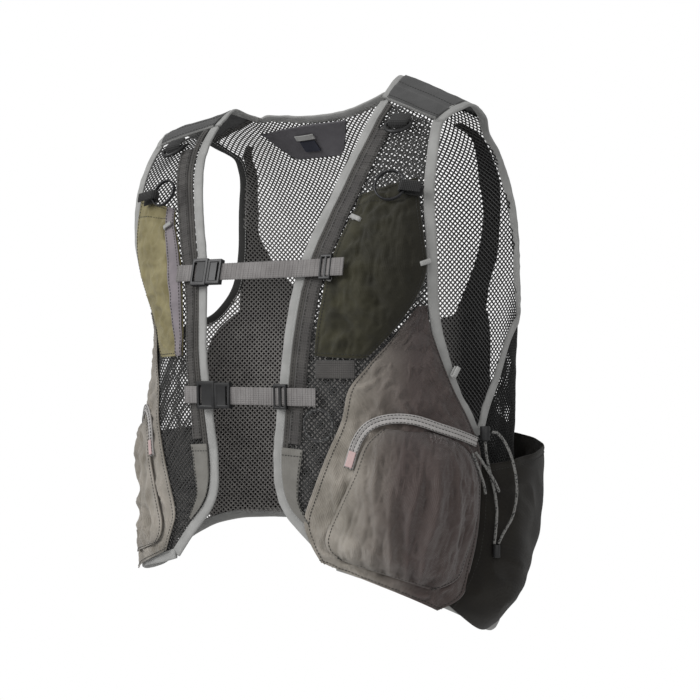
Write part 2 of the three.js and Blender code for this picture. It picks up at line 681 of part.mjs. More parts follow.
function neckInside() {
  const { middle, topHalf, lowHalf, top, low, thick, inside } = FACING;
  insideBack('neck_facing', [middle - topHalf, middle - lowHalf], [middle + topHalf, middle + lowHalf],
    top, low, inside, thick, 8, 3, 'facing');
  const face = inside + thick + 0.5;
  const bar = HANG_LOOP;
  insideBack('hang_loop', [middle - bar.half, middle - bar.half], [middle + bar.half, middle + bar.half],
    bar.level + bar.tall / 2, bar.level - bar.tall / 2, face, bar.thick, 4, 1, 'binding');
  insideBack('label', [middle - LABEL.half, middle - LABEL.half], [middle + LABEL.half, middle + LABEL.half],
    LABEL.top, LABEL.low, face, LABEL.thick, 3, 2, 'plastic');
}

// A mesh set on the form with its own X round the body, Y up along the cloth and Z out of it.
function seat(mesh, turn, level, height, lean = 0) {
  const { at, up, out } = formFrame(turn, level);
  const rise = up.clone().normalize();
  const across = rise.clone().cross(out).normalize();
  mesh.quaternion.setFromRotationMatrix(new THREE.Matrix4().makeBasis(across, rise, out));
  mesh.rotateZ(degToRad(lean));
  mesh.position.copy(at).addScaledVector(out, height);
}

function extrudeFlat(shape, thick) {
  const geometry = new THREE.ExtrudeGeometry(shape, { depth: thick, bevelEnabled: false, curveSegments: 3 });
  return geometry.translate(0, 0, -thick / 2);
}

// Webbing doubled round a bar: a hairpin in the plane of Z and Y, as wide as the web along X.
function hairpin({ long, wide, eye }) {
  const outer = eye + TAB_WEB;
  const shape = new THREE.Shape();
  shape.moveTo(outer, long);
  shape.lineTo(outer, 0);
  shape.absarc(0, 0, outer, 0, -Math.PI, true);
  shape.lineTo(-outer, long);
  shape.lineTo(-eye, long);
  shape.lineTo(-eye, 0);
  shape.absarc(0, 0, eye, -Math.PI, 0, false);
  shape.lineTo(eye, long);
  shape.closePath();
  return extrudeFlat(shape, wide).rotateY(-Math.PI / 2);
}

// A flat-sided half-round ring whose straight bar lies along X at the origin.
function halfRing() {
  const { bar, tall, wide } = RING;
  const outline = (grow) => {
    const half = wide / 2 - bar + grow;
    const path = new (grow > 0 ? THREE.Shape : THREE.Path)();
    path.moveTo(half, grow - bar / 2);
    path.lineTo(-half, grow - bar / 2);
    path.lineTo(-half, -bar);
    path.absellipse(0, -bar, half, tall - bar * 1.5 + grow, Math.PI, 2 * Math.PI, false, 0);
    path.closePath();
    return path;
  };
  const shape = outline(bar);
  shape.holes.push(outline(0));
  return extrudeFlat(shape, bar);
}

function roundRing() {
  const { radius, bar } = SIDE_RING;
  const shape = new THREE.Shape();
  shape.absarc(0, bar / 2 - radius, radius, 0, 2 * Math.PI, false);
  const hole = new THREE.Path();
  hole.absarc(0, bar / 2 - radius, radius - bar, 0, 2 * Math.PI, true);
  shape.holes.push(hole);
  const geometry = new THREE.ExtrudeGeometry(shape, { depth: bar, bevelEnabled: false, curveSegments: 12 });
  return geometry.translate(0, 0, -bar / 2);
}

function tabs(name, side) {
  const shoulder = [add(`ring_tab_${name}`, hairpin(SHOULDER_TAB), 'webbing'),
    add(`d_ring_${name}`, halfRing(), 'plastic')];
  const flank = [add(`side_tab_${name}`, hairpin(SIDE_TAB), 'plastic'),
    add(`side_ring_${name}`, roundRing(), 'steel')];
  for (const [meshes, tab] of [[shoulder, SHOULDER_TAB], [flank, side > 0 ? SIDE_TAB : RIGHT_SIDE_TAB]]) {
    for (const mesh of meshes) seat(mesh, side * tab.turn, tab.level, tab.lift, -side * tab.lean);
  }
}

// Chest straps: flat webbing across the opening, with a buckle on the right and a slider on the left.
function strapLine({ level: middle, end, rise }, x, above = 0) {
  const level = middle + above;
  const held = Math.sign(x || 1) * Math.max(Math.abs(x), STRAP.edge);
  const climb = rise * clamp((x - STRAP.riseFrom) / (end - STRAP.riseFrom), 0, 1);
  return formPoint(turnAt(held, level, false), level).y - STRAP.lift - climb;
}

function webStrip(name, line, from, to) {
  const count = 5;
  const half = STRAP.wide / 2;
  const loops = Array.from({ length: count + 1 }, (_, i) => {
    const x = lerp(from, to, i / count);
    const corner = (above, out) => vector(x, strapLine(line, x, above) - out, line.level + above);
    return [corner(half, WEB / 2), corner(-half, WEB / 2), corner(-half, -WEB / 2), corner(half, -WEB / 2)];
  });
  add(name, loft(loops), 'webbing');
}

function roundedPlate(long, tall, round) {
  const shape = new THREE.Shape();
  const x = long / 2 - round;
  const y = tall / 2 - round;
  shape.absarc(x, y, round, 0, Math.PI / 2, false);
  shape.absarc(-x, y, round, Math.PI / 2, Math.PI, false);
  shape.absarc(-x, -y, round, Math.PI, 1.5 * Math.PI, false);
  shape.absarc(x, -y, round, 1.5 * Math.PI, 2 * Math.PI, false);
  return shape;
}

function slotHole(x, tall) {
  const half = BUCKLE.slot / 2;
  const hole = new THREE.Path();
  hole.moveTo(x - half, -tall / 2);
  hole.lineTo(x - half, tall / 2);
  hole.lineTo(x + half, tall / 2);
  hole.lineTo(x + half, -tall / 2);
  return hole;
}

// A moulded plate from one place across the body to another, facing the front.
function moulded(name, line, from, to, tall, thick, slots) {
  const shape = roundedPlate(to - from - GAP, tall, BUCKLE.round);
  const middle = (from + to) / 2;
  slots.forEach((x, i) => shape.holes.push(slotHole(x, tall - 2 * BUCKLE.notch - i)));
  const mesh = add(name, extrudeFlat(shape, thick), 'plastic');
  const half = tall / 2;
  const slope = strapLine(line, middle, half) - strapLine(line, middle, -half);
  mesh.rotation.x = Math.PI / 2 - Math.atan2(slope, tall);
  mesh.position.set(middle, strapLine(line, middle), line.level);
}

function chestStrap(line) {
  const { name, anchorRight, socket, plug, strap, slider, anchorLeft, end } = line;
  const { tall, thick, slot, bar } = BUCKLE;
  webStrip(`${name}_anchor_right`, line, anchorRight, socket - GAP);
  moulded(`${name}_socket`, line, socket, plug, tall, thick, [-(plug - socket) / 2 + bar + slot / 2]);
  moulded(`${name}_plug`, line, plug, strap, tall - 2, thick - 1, [(strap - plug) / 2 - bar - slot / 2]);
  webStrip(`${name}_strap`, line, strap + GAP, slider - GAP);
  moulded(`${name}_slider`, line, slider, anchorLeft, SLIDER.tall, SLIDER.thick, [-slot * 0.8, slot * 0.8]);
  webStrip(`${name}_anchor_left`, line, anchorLeft + GAP, end);
}

function crossWebbing() {
  const grid = [0.5, -0.5].map((share) => Array.from({ length: 7 }, (_, j) =>
    formPoint(lerp(CROSS_WEB.from, CROSS_WEB.to, j / 6), CROSS_WEB.level + share * CROSS_WEB.tall)));
  add('cross_webbing_left', sheet(grid, () => ON_NET, WEB), 'webbing');
  const { radius, wire } = RING_LOOP;
  const ring = add('ring_loop_left', new THREE.TorusGeometry(radius, wire, 6, 20), 'cord');
  seat(ring, RING_LOOP.turn, RING_LOOP.level, RING_LOOP.lift);
}

// A short round piece along Z, with softened ends.
function barrel(radius, tall) {
  const soft = radius * 0.3;
  const half = tall / 2;
  const profile = [[0, -half], [radius - soft, -half], [radius, soft - half], [radius, half - soft],
    [radius - soft, half], [0, half]].map(([r, z]) => new THREE.Vector2(r, z));
  return new THREE.LatheGeometry(profile, 12).rotateX(Math.PI / 2);
}

function cords() {
  const section = new THREE.Shape();
  section.absarc(0, 0, CORD / 2, 0, 2 * Math.PI, false);
  const circle = section.getPoints(CORD_SIDES / 4).slice(0, CORD_SIDES);
  for (const [name, route] of Object.entries(CORD_ROUTES)) {
    const path = new THREE.CatmullRomCurve3(route.map((point) => vector(...point)));
    const steps = Math.round(path.getLength() / (2.5 * CORD));
    add(name, new THREE.ExtrudeGeometry(new THREE.Shape(circle), { steps, extrudePath: path }), 'cord');
  }
  add('cord_lock', barrel(LOCK.radius, LOCK.tall), 'plastic').position.set(...LOCK.at);
  add('cord_end', barrel(CORD_END.radius, CORD_END.tall), 'plastic').position.set(...CORD_END.at);
}

backPanel();
bindings();
hemBinding();
backPocket();
neckInside();
for (const [name, side] of sides) {
  frontPanel(name, side);
  yoke(name, side);
  edgeStrip(`front_band_${name}`, side, FRONT_BAND, ON_NET, FRONT_BAND.thick, 'band');
  edgeStrip(`edge_webbing_${name}`, side, EDGE_WEB, ON_NET, WEB, 'webbing');
  chestPocket(name, side);
  lowerPocket(name, side);
  cargoPocket(name, side);
  zipBand(name, side);
  bottlePocket(name, side);
  backBand(name, side);
  tabs(name, side);
}
STRAPS.forEach(chestStrap);
crossWebbing();
cords();

export default vest;
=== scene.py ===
"""A net utility vest in its portrait: net body, bound edges, pockets, straps, rings and cords.

Lengths in the shape code are millimetres in the part's frame; meshes are made in metres.
A place on the cloth is a turn round the body in degrees and a level, as in the part's source.
"""

from __future__ import annotations

import logging
from collections.abc import Callable, Iterable, Sequence
from dataclasses import dataclass, field
from enum import Enum
from functools import cache
from math import pi, radians
from typing import NamedTuple

import bpy
import numpy as np
from mathutils import Matrix, Vector


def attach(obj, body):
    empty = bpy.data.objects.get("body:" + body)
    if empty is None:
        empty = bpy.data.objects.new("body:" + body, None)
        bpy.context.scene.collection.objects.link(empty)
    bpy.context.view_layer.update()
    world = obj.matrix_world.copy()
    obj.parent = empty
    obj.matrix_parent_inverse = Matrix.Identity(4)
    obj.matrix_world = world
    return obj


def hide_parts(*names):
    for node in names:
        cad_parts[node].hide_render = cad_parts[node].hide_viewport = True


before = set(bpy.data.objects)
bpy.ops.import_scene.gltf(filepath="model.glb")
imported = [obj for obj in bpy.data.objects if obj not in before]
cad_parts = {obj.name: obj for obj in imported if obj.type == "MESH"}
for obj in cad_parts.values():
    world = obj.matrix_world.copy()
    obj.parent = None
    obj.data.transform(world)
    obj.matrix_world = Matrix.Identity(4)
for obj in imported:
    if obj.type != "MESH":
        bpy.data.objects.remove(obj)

Array = np.ndarray
Colour = tuple[int, int, int]
MM = 0.001
ON_NET = 1.4
RIGHT_CLOSER = 0.14
SIDE_SEAM = 70.5
CLOTH = 1.2
MIDDLE = np.array((0.0, 0.0, -230.0))
log = logging.getLogger("vest")


class Side(Enum):
    """The wearer's two sides, as the sign of X."""

    LEFT = 1
    RIGHT = -1

    @property
    def tag(self) -> str:
        """Word used at the end of piece names."""
        return self.name.lower()


class Slot(Enum):
    """Material slots of the part."""

    NET = "net"
    BINDING = "binding"
    YOKE = "yoke"
    BAND = "band"
    WEBBING = "webbing"
    OLIVE = "olive"
    KHAKI = "khaki"
    TAUPE = "taupe"
    FACING = "facing"
    PLASTIC = "plastic"
    STEEL = "steel"
    CORD = "cord"


class Held(Enum):
    """How a sheet of cloth is held."""

    HUNG = "hung"
    STRETCHED = "stretched"


def unit(vectors: Array) -> Array:
    """Vectors brought to length one."""
    return vectors / np.maximum(np.linalg.norm(vectors, axis=-1, keepdims=True), 1e-9)


def runs_of(points: Array) -> Array:
    """Length along a line of points, from zero at its start."""
    steps = np.linalg.norm(np.diff(points, axis=0), axis=-1)
    return np.concatenate(([0.0], np.cumsum(steps)))


def spline(points: Sequence[Sequence[float]] | Array, count: int) -> Array:
    """Smooth curve through points.

    Args:
        points: Points of any dimension.
        count: Number of even steps.

    Returns:
        count + 1 points.
    """
    points = np.asarray(points, float)
    last = len(points) - 1
    at = np.linspace(0, last, count + 1)
    i = np.minimum(at.astype(int), last - 1)
    w = (at - i)[:, None]
    p0, p1, p2, p3 = (points[np.clip(i + k, 0, last)] for k in (-1, 0, 1, 2))
    v0, v1 = (p2 - p0) / 2, (p3 - p1) / 2
    return ((2 * p1 - 2 * p2 + v0 + v1) * w - 3 * p1 + 3 * p2 - 2 * v0 - v1) * w * w + v0 * w + p1


def resampled(step: float, *lines: Array) -> list[Array]:
    """Lines put at even steps along the first of them.

    Args:
        step: Distance between stations.
        lines: Lines with equal numbers of points.

    Returns:
        The lines at the new stations.
    """
    run = runs_of(lines[0])
    at = np.linspace(0, run[-1], max(2, round(run[-1] / step)) + 1)
    return [np.stack([np.interp(at, run, line[:, k]) for k in range(3)], axis=1) for line in lines]


def eased(rows: Array, closed: bool, times: int = 3) -> Array:
    """Rows of vectors softened along their line.

    Args:
        rows: Vectors, one a station.
        closed: Whether the line is a loop.
        times: Number of passes.

    Returns:
        Softened vectors.
    """
    for _ in range(times):
        before = np.roll(rows, 1, axis=0)
        after = np.roll(rows, -1, axis=0)
        if not closed:
            before[0], after[-1] = rows[0], rows[-1]
        rows = (before + rows + after) / 3
    return rows


def facing_out(normals: Array, points: Array) -> Array:
    """Normals turned away from the middle of the body."""
    return normals * np.where(((points - MIDDLE) * normals).sum(-1, keepdims=True) < 0, -1.0, 1.0)


class Profile(NamedTuple):
    """Depth of the front or the rear of the body below its shoulder ridge."""

    depth: float
    full: float
    bow: float
    taper: float

    def at(self, drop: Array) -> Array:
        """Depth at each drop below the ridge."""
        open_ = 1 - (1 - np.clip(drop / self.full, 0, 1)) ** 2
        return self.depth * open_**self.bow - self.taper * (np.maximum(drop - self.full, 0) / 240) ** 1.4


class Hang(NamedTuple):
    """A place where the cloth hangs away from the even form."""

    at: tuple[float, float, float]
    reach: tuple[float, float, float]
    move: tuple[float, float, float]


HANGS = (
    Hang((-165, -70, -235), (80, 70, 95), (32, 4, 0)),
    Hang((-165, -60, -385), (60, 60, 62), (18, 0, 0)),
    Hang((-98, -100, -445), (58, 70, 55), (0, 0, -6)),
    Hang((-180, 22, -472), (60, 42, 60), (0, 0, 27)),
    Hang((180, -20, -470), (60, 70, 70), (0, 0, -9)),
    Hang((95, 0, 0), (50, 60, 60), (0, 0, 7)),
    Hang((158, 90, -140), (40, 60, 95), (6, 0, 0)),
    Hang((-165, 0, -35), (45, 60, 60), (-10, 0, 8)),
    Hang((-150, 62, -48), (40, 50, 36), (15, 0, 0)),
    Hang((-88, 10, 0), (40, 60, 40), (0, 0, -6)),
    Hang((-55, -110, -190), (40, 50, 90), (4, 0, 0)),
    Hang((0, 45, -25), (80, 45, 50), (-16, 0, 0)),
    Hang((-42, -118, -240), (45, 60, 75), (-6, 0, 0)),
    Hang((48, -118, -240), (45, 60, 75), (4, 0, 0)),
    Hang((108, -62, -55), (50, 50, 55), (0, -6, 0)),
    Hang((-108, -62, -55), (50, 50, 55), (0, -5, 0)),
    Hang((115, 85, -58), (45, 45, 50), (0, 7, 0)),
)


@dataclass(frozen=True)
class TorsoForm:
    """The body form that all the cloth lies on."""

    front: Profile = Profile(119, 250, 0.85, 15)
    rear: Profile = Profile(125, 220, 0.55, 20)
    hangs: tuple[Hang, ...] = HANGS
    slope_drop: float = 31.0
    slope_from: float = 90.0
    slope_run: float = 77.0
    slope_end: float = 1.4
    half_width: float = 186.0
    taper: float = 9.0
    taper_from: float = -320.0
    taper_run: float = 160.0
    low_power: float = 2.7
    more_power: float = 4.5
    power_from: float = -230.0
    power_run: float = 190.0
    blend: float = 25.0

    def ridge(self, x: Array) -> Array:
        """Level of the shoulder ridge."""
        return -self.slope_drop * np.clip((np.abs(x) - self.slope_from) / self.slope_run, 0, self.slope_end)

    def half(self, level: Array) -> Array:
        """Half width of the body."""
        below = np.maximum(self.taper_from - level, 0) / self.taper_run
        return self.half_width - self.taper * below**1.5

    def power(self, level: Array) -> Array:
        """How square the body's section is."""
        above = np.clip((level - self.power_from) / self.power_run, 0, 1)
        return self.low_power + self.more_power * above**1.5

    def point(self, turn: Array, level: Array) -> Array:
        """Points on the form.

        Args:
            turn: Degrees round the body from the centre front, the wearer's left positive.
            level: Height below the ridge, as Z.

        Returns:
            Points, with X, Y and Z last.
        """
        turn, level = np.broadcast_arrays(np.asarray(turn, float), np.asarray(level, float))
        s, c = np.sin(np.radians(turn)), np.cos(np.radians(turn))
        p = self.power(level)
        r = (np.abs(s) ** p + np.abs(c) ** p) ** (-1 / p)
        x = self.half(level) * r * s
        ridge = self.ridge(x)
        drop = -level + ridge * np.exp(-np.maximum(ridge - level, 0) / self.blend)
        depth = np.where(c >= 0, self.front.at(drop), self.rear.at(drop))
        bare = np.stack((x, -np.sign(c) * depth * r * np.abs(c), level), axis=-1)
        moved = bare.copy()
        for hang in self.hangs:
            away = (bare - np.array(hang.at)) / np.array(hang.reach)
            moved += np.exp(-(away**2).sum(-1))[..., None] * np.array(hang.move)
        return moved

    def on(self, places: Array, side: Side = Side.LEFT) -> Array:
        """Points at rows of turn and level, mirrored for the right side."""
        return self.point(side.value * places[..., 0], places[..., 1])

    def turn_at(self, x: Array, level: Array, rear: Array | bool) -> Array:
        """Turn at a distance across the body.

        Args:
            x: Distance across.
            level: Level there.
            rear: Whether the place is on the rear.

        Returns:
            Turns in degrees.
        """
        p = self.power(level)
        f = np.minimum(np.abs(x) / self.half(level), 0.9999)
        turn = np.degrees(np.arctan(f / (1 - f**p) ** (1 / p)))
        return np.where(x < 0, -1.0, 1.0) * np.where(rear, 180 - turn, turn)

    def slopes(self, turn: Array, level: Array) -> tuple[Array, Array, Array]:
        """Directions round the body, up it and out of it."""
        round_ = (self.point(turn + 0.1, level) - self.point(turn - 0.1, level)) / 0.2
        up = (self.point(turn, level + 0.2) - self.point(turn, level - 0.2)) / 0.4
        out = facing_out(unit(np.cross(round_, up)), self.point(turn, level))
        return round_, up, out

    def inset(self, places: Array, distance: float, sign: int) -> Array:
        """A row of places moved across itself on the cloth.

        Args:
            places: Turn and level of each place, on the wearer's left.
            distance: How far, in millimetres.
            sign: Which way from the row.

        Returns:
            Moved places.
        """
        turn, level = places[:, 0], places[:, 1]
        round_, up, out = self.slopes(turn, level)
        way = unit(np.cross(out, np.gradient(self.on(places), axis=0))) * distance * sign
        shift = [(way * axis).sum(-1) / (axis**2).sum(-1) for axis in (round_, up)]
        return places + np.stack(shift, axis=1)

    def seat(self, turn: float, level: float, height: float, lean: float = 0.0) -> Matrix:
        """Where a small piece sits: its X round the body, Y up the cloth and Z out of it.

        Args:
            turn: Turn of the place.
            level: Level of the place.
            height: Distance out of the cloth.
            lean: Degrees turned about Z.

        Returns:
            A matrix in metres.
        """
        _, up, out = self.slopes(np.array(turn), np.array(level))
        up = unit(up)
        across = unit(np.cross(up, out))
        at = (self.point(turn, level) + out * height) * MM
        turned = Matrix(np.stack((across, up, out), axis=1).tolist()).to_4x4()
        return Matrix.Translation(at) @ turned @ Matrix.Rotation(radians(lean), 4, "Z")


FORM = TorsoForm()


def signed_volume(points: Array, faces: Iterable[Array]) -> float:
    """Volume inside the faces, below zero where they face inward."""
    total = 0.0
    for block in faces:
        for k in range(1, block.shape[1] - 1):
            a, b, c = (points[block[:, i]] - MIDDLE for i in (0, k, k + 1))
            total += float((a * np.cross(b, c)).sum())
    return total


def make_mesh(name: str, points: Array, faces: list[Array], uv: Array | None = None,
              smooth: bool = True) -> bpy.types.Object:
    """Mesh object from arrays.

    Args:
        name: Name of the piece.
        points: Points in millimetres.
        faces: Blocks of faces, each with as many columns as corners.
        uv: Place of each point on the flat cloth, in metres.
        smooth: Whether it is shaded smooth.

    Returns:
        The object, in the scene.
    """
    if signed_volume(points, faces) < 0:
        faces = [block[:, ::-1] for block in faces]
    mesh = bpy.data.meshes.new(name)
    corners = np.concatenate([block.ravel() for block in faces]).astype(np.int32)
    sizes = np.concatenate([np.full(len(block), block.shape[1]) for block in faces])
    mesh.vertices.add(len(points))
    mesh.vertices.foreach_set("co", (points * MM).astype(np.float32).ravel())
    mesh.loops.add(len(corners))
    mesh.loops.foreach_set("vertex_index", corners)
    mesh.polygons.add(len(sizes))
    mesh.polygons.foreach_set("loop_start", np.concatenate(([0], np.cumsum(sizes)[:-1])).astype(np.int32))
    mesh.polygons.foreach_set("use_smooth", np.full(len(sizes), smooth))
    mesh.update(calc_edges=True)
    if uv is not None:
        mesh.uv_layers.new(name="Flat").data.foreach_set("uv", uv[corners].astype(np.float32).ravel())
    mesh.validate()
    piece = bpy.data.objects.new(name, mesh)
    bpy.context.scene.collection.objects.link(piece)
    return piece


def grid_faces(rows: int, columns: int, start: int = 0) -> Array:
    """Quads of a grid of points numbered row by row."""
    index = start + np.arange(rows * columns).reshape(rows, columns)
    return np.stack((index[:-1, :-1], index[1:, :-1], index[1:, 1:], index[:-1, 1:]), -1).reshape(-1, 4)


def grid_normals(grid: Array) -> Array:
    """Outward normals of a grid of points."""
    normals = unit(np.cross(np.gradient(grid, axis=0), np.gradient(grid, axis=1)))
    return facing_out(normals, grid)


def sheet_mesh(name: str, grid: Array, height: Array | float, thick: float) -> bpy.types.Object:
    """A closed sheet of cloth over a grid.

    Args:
        name: Name of the piece.
        grid: Points on the form, by rows and columns.
        height: Height of the sheet's underside out of the form.
        thick: Thickness.

    Returns:
        The sheet.
    """
    rows, columns = grid.shape[:2]
    under = grid + grid_normals(grid) * np.broadcast_to(height, (rows, columns))[..., None]
    over = under + grid_normals(under) * thick
    low = grid_faces(rows, columns, rows * columns)[:, ::-1]
    index = np.arange(rows * columns).reshape(rows, columns)
    rim = np.concatenate((index[0], index[1:, -1], index[-1, -2::-1], index[-2:0:-1, 0]))
    after = np.roll(rim, -1)
    wall = np.stack((rim, after, after + rows * columns, rim + rows * columns), -1)
    flat = np.stack(np.meshgrid(mean_run(under.swapaxes(0, 1)), mean_run(under)), -1).reshape(-1, 2) * MM
    points = np.concatenate((over.reshape(-1, 3), under.reshape(-1, 3)))
    return make_mesh(name, points, [grid_faces(rows, columns), low, wall], np.concatenate((flat, flat)))


def mean_run(grid: Array) -> Array:
    """Mean length down a grid's columns at each of its rows."""
    steps = np.linalg.norm(np.diff(grid, axis=0), axis=-1).mean(axis=1)
    return np.concatenate(([0.0], np.cumsum(steps)))


def tube_mesh(name: str, sections: Array, closed: bool) -> bpy.types.Object:
    """A closed body through a row of sections.

    Args:
        name: Name of the piece.
        sections: Points by station and by place round the section, an even number round.
        closed: Whether the row is a loop.

    Returns:
        The body.
    """
    stations, around = sections.shape[:2]
    index = np.arange(stations * around).reshape(stations, around)
    ring = np.concatenate((index, index[:1])) if closed else index
    wrap = np.concatenate((ring, ring[:, :1]), axis=1)
    faces = [np.stack((wrap[:-1, :-1], wrap[1:, :-1], wrap[1:, 1:], wrap[:-1, 1:]), -1).reshape(-1, 4)]
    if not closed:
        k = np.arange(around // 2 - 1)
        ladder = np.stack((k, k + 1, around - 2 - k, around - 1 - k), -1)
        faces += [index[0][ladder], index[-1][ladder][:, ::-1]]
    wide = runs_of(sections[0])
    flat = np.stack(np.meshgrid(wide, runs_of(sections[:, 0])), -1).reshape(-1, 2) * MM
    return make_mesh(name, sections.reshape(-1, 3), faces, flat)


@dataclass(frozen=True)
class Crinkle:
    """Small repeatable waves in cloth."""

    seed: int
    wave: float
    height: float
    stretch: tuple[float, float, float] = (1.0, 1.0, 1.0)

    def at(self, points: Array) -> Array:
        """Height at each point."""
        rng = np.random.default_rng(self.seed)
        total = np.zeros(points.shape[:-1])
        for _ in range(14):
            way = rng.normal(size=3) * np.array(self.stretch)
            way *= 2 * pi / (self.wave * rng.uniform(0.6, 1.7) * np.linalg.norm(way))
            total += np.sin(points @ (way * np.array(self.stretch)) + rng.uniform(0, 2 * pi))
        return self.height * (0.6 - np.abs(total) / 3.2)


class Fold(NamedTuple):
    """A straight fold from one place on the cloth to another."""

    turn: float
    level: float
    to_turn: float
    to_level: float
    wide: float
    height: float


def folds_at(points: Array, folds: Iterable[Fold], side: Side) -> Array:
    """Height of folds at points on the form.

    Args:
        points: Points on the form.
        folds: Folds in the cloth.
        side: Side of the body.

    Returns:
        Heights.
    """
    total = np.zeros(points.shape[:-1])
    for fold in folds:
        start = FORM.point(side.value * fold.turn, fold.level)
        way = FORM.point(side.value * fold.to_turn, fold.to_level) - start
        share = np.clip(((points - start) @ way) / (way @ way), 0, 1)
        away = np.linalg.norm(points - start - share[..., None] * way, axis=-1)
        fade = 0.25 + 0.75 * np.sin(pi * (0.1 + 0.8 * share))
        total += fold.height * np.exp(-((away / fold.wide) ** 2)) * fade
    return total


def linear(colour: Colour) -> tuple[float, float, float, float]:
    """A screen colour as light."""
    shares = [c / 255 for c in colour]
    return (*[s / 12.92 if s <= 0.04045 else ((s + 0.055) / 1.055) ** 2.4 for s in shares], 1.0)


class Shader:
    """A material's nodes while they are put together."""

    def __init__(self, name: str) -> None:
        """Start a material with one surface.

        Args:
            name: Name of the material.
        """
        self.material = bpy.data.materials.new(name)
        self.material.use_nodes = True
        self.tree = self.material.node_tree
        self.surface = self.tree.nodes["Principled BSDF"]
        self.place = self.tree.nodes.new("ShaderNodeTexCoord")

    def set(self, **values: float | tuple[float, ...]) -> None:
        """Set sockets of the surface, spaces in their names as underscores."""
        for name, value in values.items():
            self.surface.inputs[name.replace("_", " ")].default_value = value

    def noise(self, size: float, detail: float = 3.0, source: str = "Object") -> bpy.types.NodeSocket:
        """Smooth noise.

        Args:
            size: Size of its patches in millimetres.
            detail: Finer layers.
            source: Coordinates used.

        Returns:
            Its value.
        """
        node = self.tree.nodes.new("ShaderNodeTexNoise")
        node.inputs["Scale"].default_value = 1 / (size * MM)
        node.inputs["Detail"].default_value = detail
        self.tree.links.new(self.place.outputs[source], node.inputs["Vector"])
        return node.outputs["Fac"]

    def waves(self, pitch: float, axis: str, source: str = "UV") -> bpy.types.NodeSocket:
        """Even bands.

        Args:
            pitch: Distance between bands in millimetres.
            axis: X or Y of the coordinates.
            source: Coordinates used.

        Returns:
            Their value.
        """
        node = self.tree.nodes.new("ShaderNodeTexWave")
        node.bands_direction = axis
        node.inputs["Scale"].default_value = pi / (10 * pitch * MM)
        self.tree.links.new(self.place.outputs[source], node.inputs["Vector"])
        return node.outputs["Fac"]

    def span(self, value: bpy.types.NodeSocket, low: float, high: float) -> bpy.types.NodeSocket:
        """A value stretched so that low is zero and high is one."""
        node = self.tree.nodes.new("ShaderNodeMapRange")
        node.inputs["From Min"].default_value = low
        node.inputs["From Max"].default_value = high
        self.tree.links.new(value, node.inputs["Value"])
        return node.outputs["Result"]

    def across(self, axis: str) -> bpy.types.NodeSocket:
        """One coordinate of the object, in metres."""
        node = self.tree.nodes.new("ShaderNodeSeparateXYZ")
        self.tree.links.new(self.place.outputs["Object"], node.inputs["Vector"])
        return node.outputs[axis]

    def mix(self, share: bpy.types.NodeSocket, a: object, b: object) -> bpy.types.NodeSocket:
        """Two colours mixed.

        Args:
            share: How much of the second.
            a: First colour, or a socket.
            b: Second colour, or a socket.

        Returns:
            The mixed colour.
        """
        node = self.tree.nodes.new("ShaderNodeMix")
        node.data_type = "RGBA"
        self.tree.links.new(share, node.inputs["Factor"])
        for name, value in (("A", a), ("B", b)):
            target = next(i for i in node.inputs if i.name == name and i.type == "RGBA")
            if isinstance(value, bpy.types.NodeSocket):
                self.tree.links.new(value, target)
            else:
                target.default_value = linear(value)
        return next(o for o in node.outputs if o.type == "RGBA")

    def bump(self, heights: Sequence[tuple[bpy.types.NodeSocket, float]]) -> None:
        """Add relief to the surface.

        Args:
            heights: Values and how deep each one is, in millimetres.
        """
        normal = None
        for value, deep in heights:
            node = self.tree.nodes.new("ShaderNodeBump")
            node.inputs["Distance"].default_value = deep * MM
            self.tree.links.new(value, node.inputs["Height"])
            if normal is not None:
                self.tree.links.new(normal, node.inputs["Normal"])
            normal = node.outputs["Normal"]
        self.tree.links.new(normal, self.surface.inputs["Normal"])

    def paint(self, colour: bpy.types.NodeSocket) -> bpy.types.Material:
        """Give the surface its colour."""
        self.tree.links.new(colour, self.surface.inputs["Base Color"])
        return self.material


class Tone(NamedTuple):
    """Painted light and shade: a colour ramped in along an axis, between two places in metres."""

    colour: Colour
    axis: str
    start: float
    stop: float


@dataclass(frozen=True)
class ClothFinish:
    """Woven cloth: two near colours in patches, a weave, and painted light and shade ramped across the piece.
    """

    name: str
    colour: Colour
    second: Colour
    patch: float = 14.0
    weave: float = 1.1
    deep: float = 0.12
    rough: float = 0.85
    sheen: float = 0.15
    tones: tuple[Tone, ...] = ()

    def material(self) -> bpy.types.Material:
        """The cloth as a material."""
        shader = Shader(self.name)
        shader.set(Roughness=self.rough, Sheen_Weight=self.sheen, Sheen_Roughness=0.5,
                   Specular_IOR_Level=0.25)
        colour = shader.mix(shader.span(shader.noise(self.patch), 0.35, 0.65), self.colour, self.second)
        # Painted light and shade, ramped in along an object axis.
        for light_ramp in self.tones:
            colour = shader.mix(shader.span(shader.across(light_ramp.axis), light_ramp.start, light_ramp.stop), colour,
                                light_ramp.colour)
        shader.bump([
            (shader.waves(self.weave, "X"), self.deep),
            (shader.waves(self.weave, "Y"), self.deep),
            (shader.noise(2.2, 2.0), self.deep),
        ])
        return shader.paint(colour)


@dataclass(frozen=True)
class MouldedFinish:
    """Moulded or coated hard goods."""

    name: str
    colour: Colour
    second: Colour
    rough: float = 0.45
    metal: float = 0.0

    def material(self) -> bpy.types.Material:
        """The finish as a material."""
        shader = Shader(self.name)
        shader.set(Roughness=self.rough, Metallic=self.metal)
        colour = shader.mix(shader.span(shader.noise(6.0), 0.4, 0.7), self.colour, self.second)
        shader.bump([(shader.noise(0.5, 2.0), 0.03)])
        return shader.paint(colour)


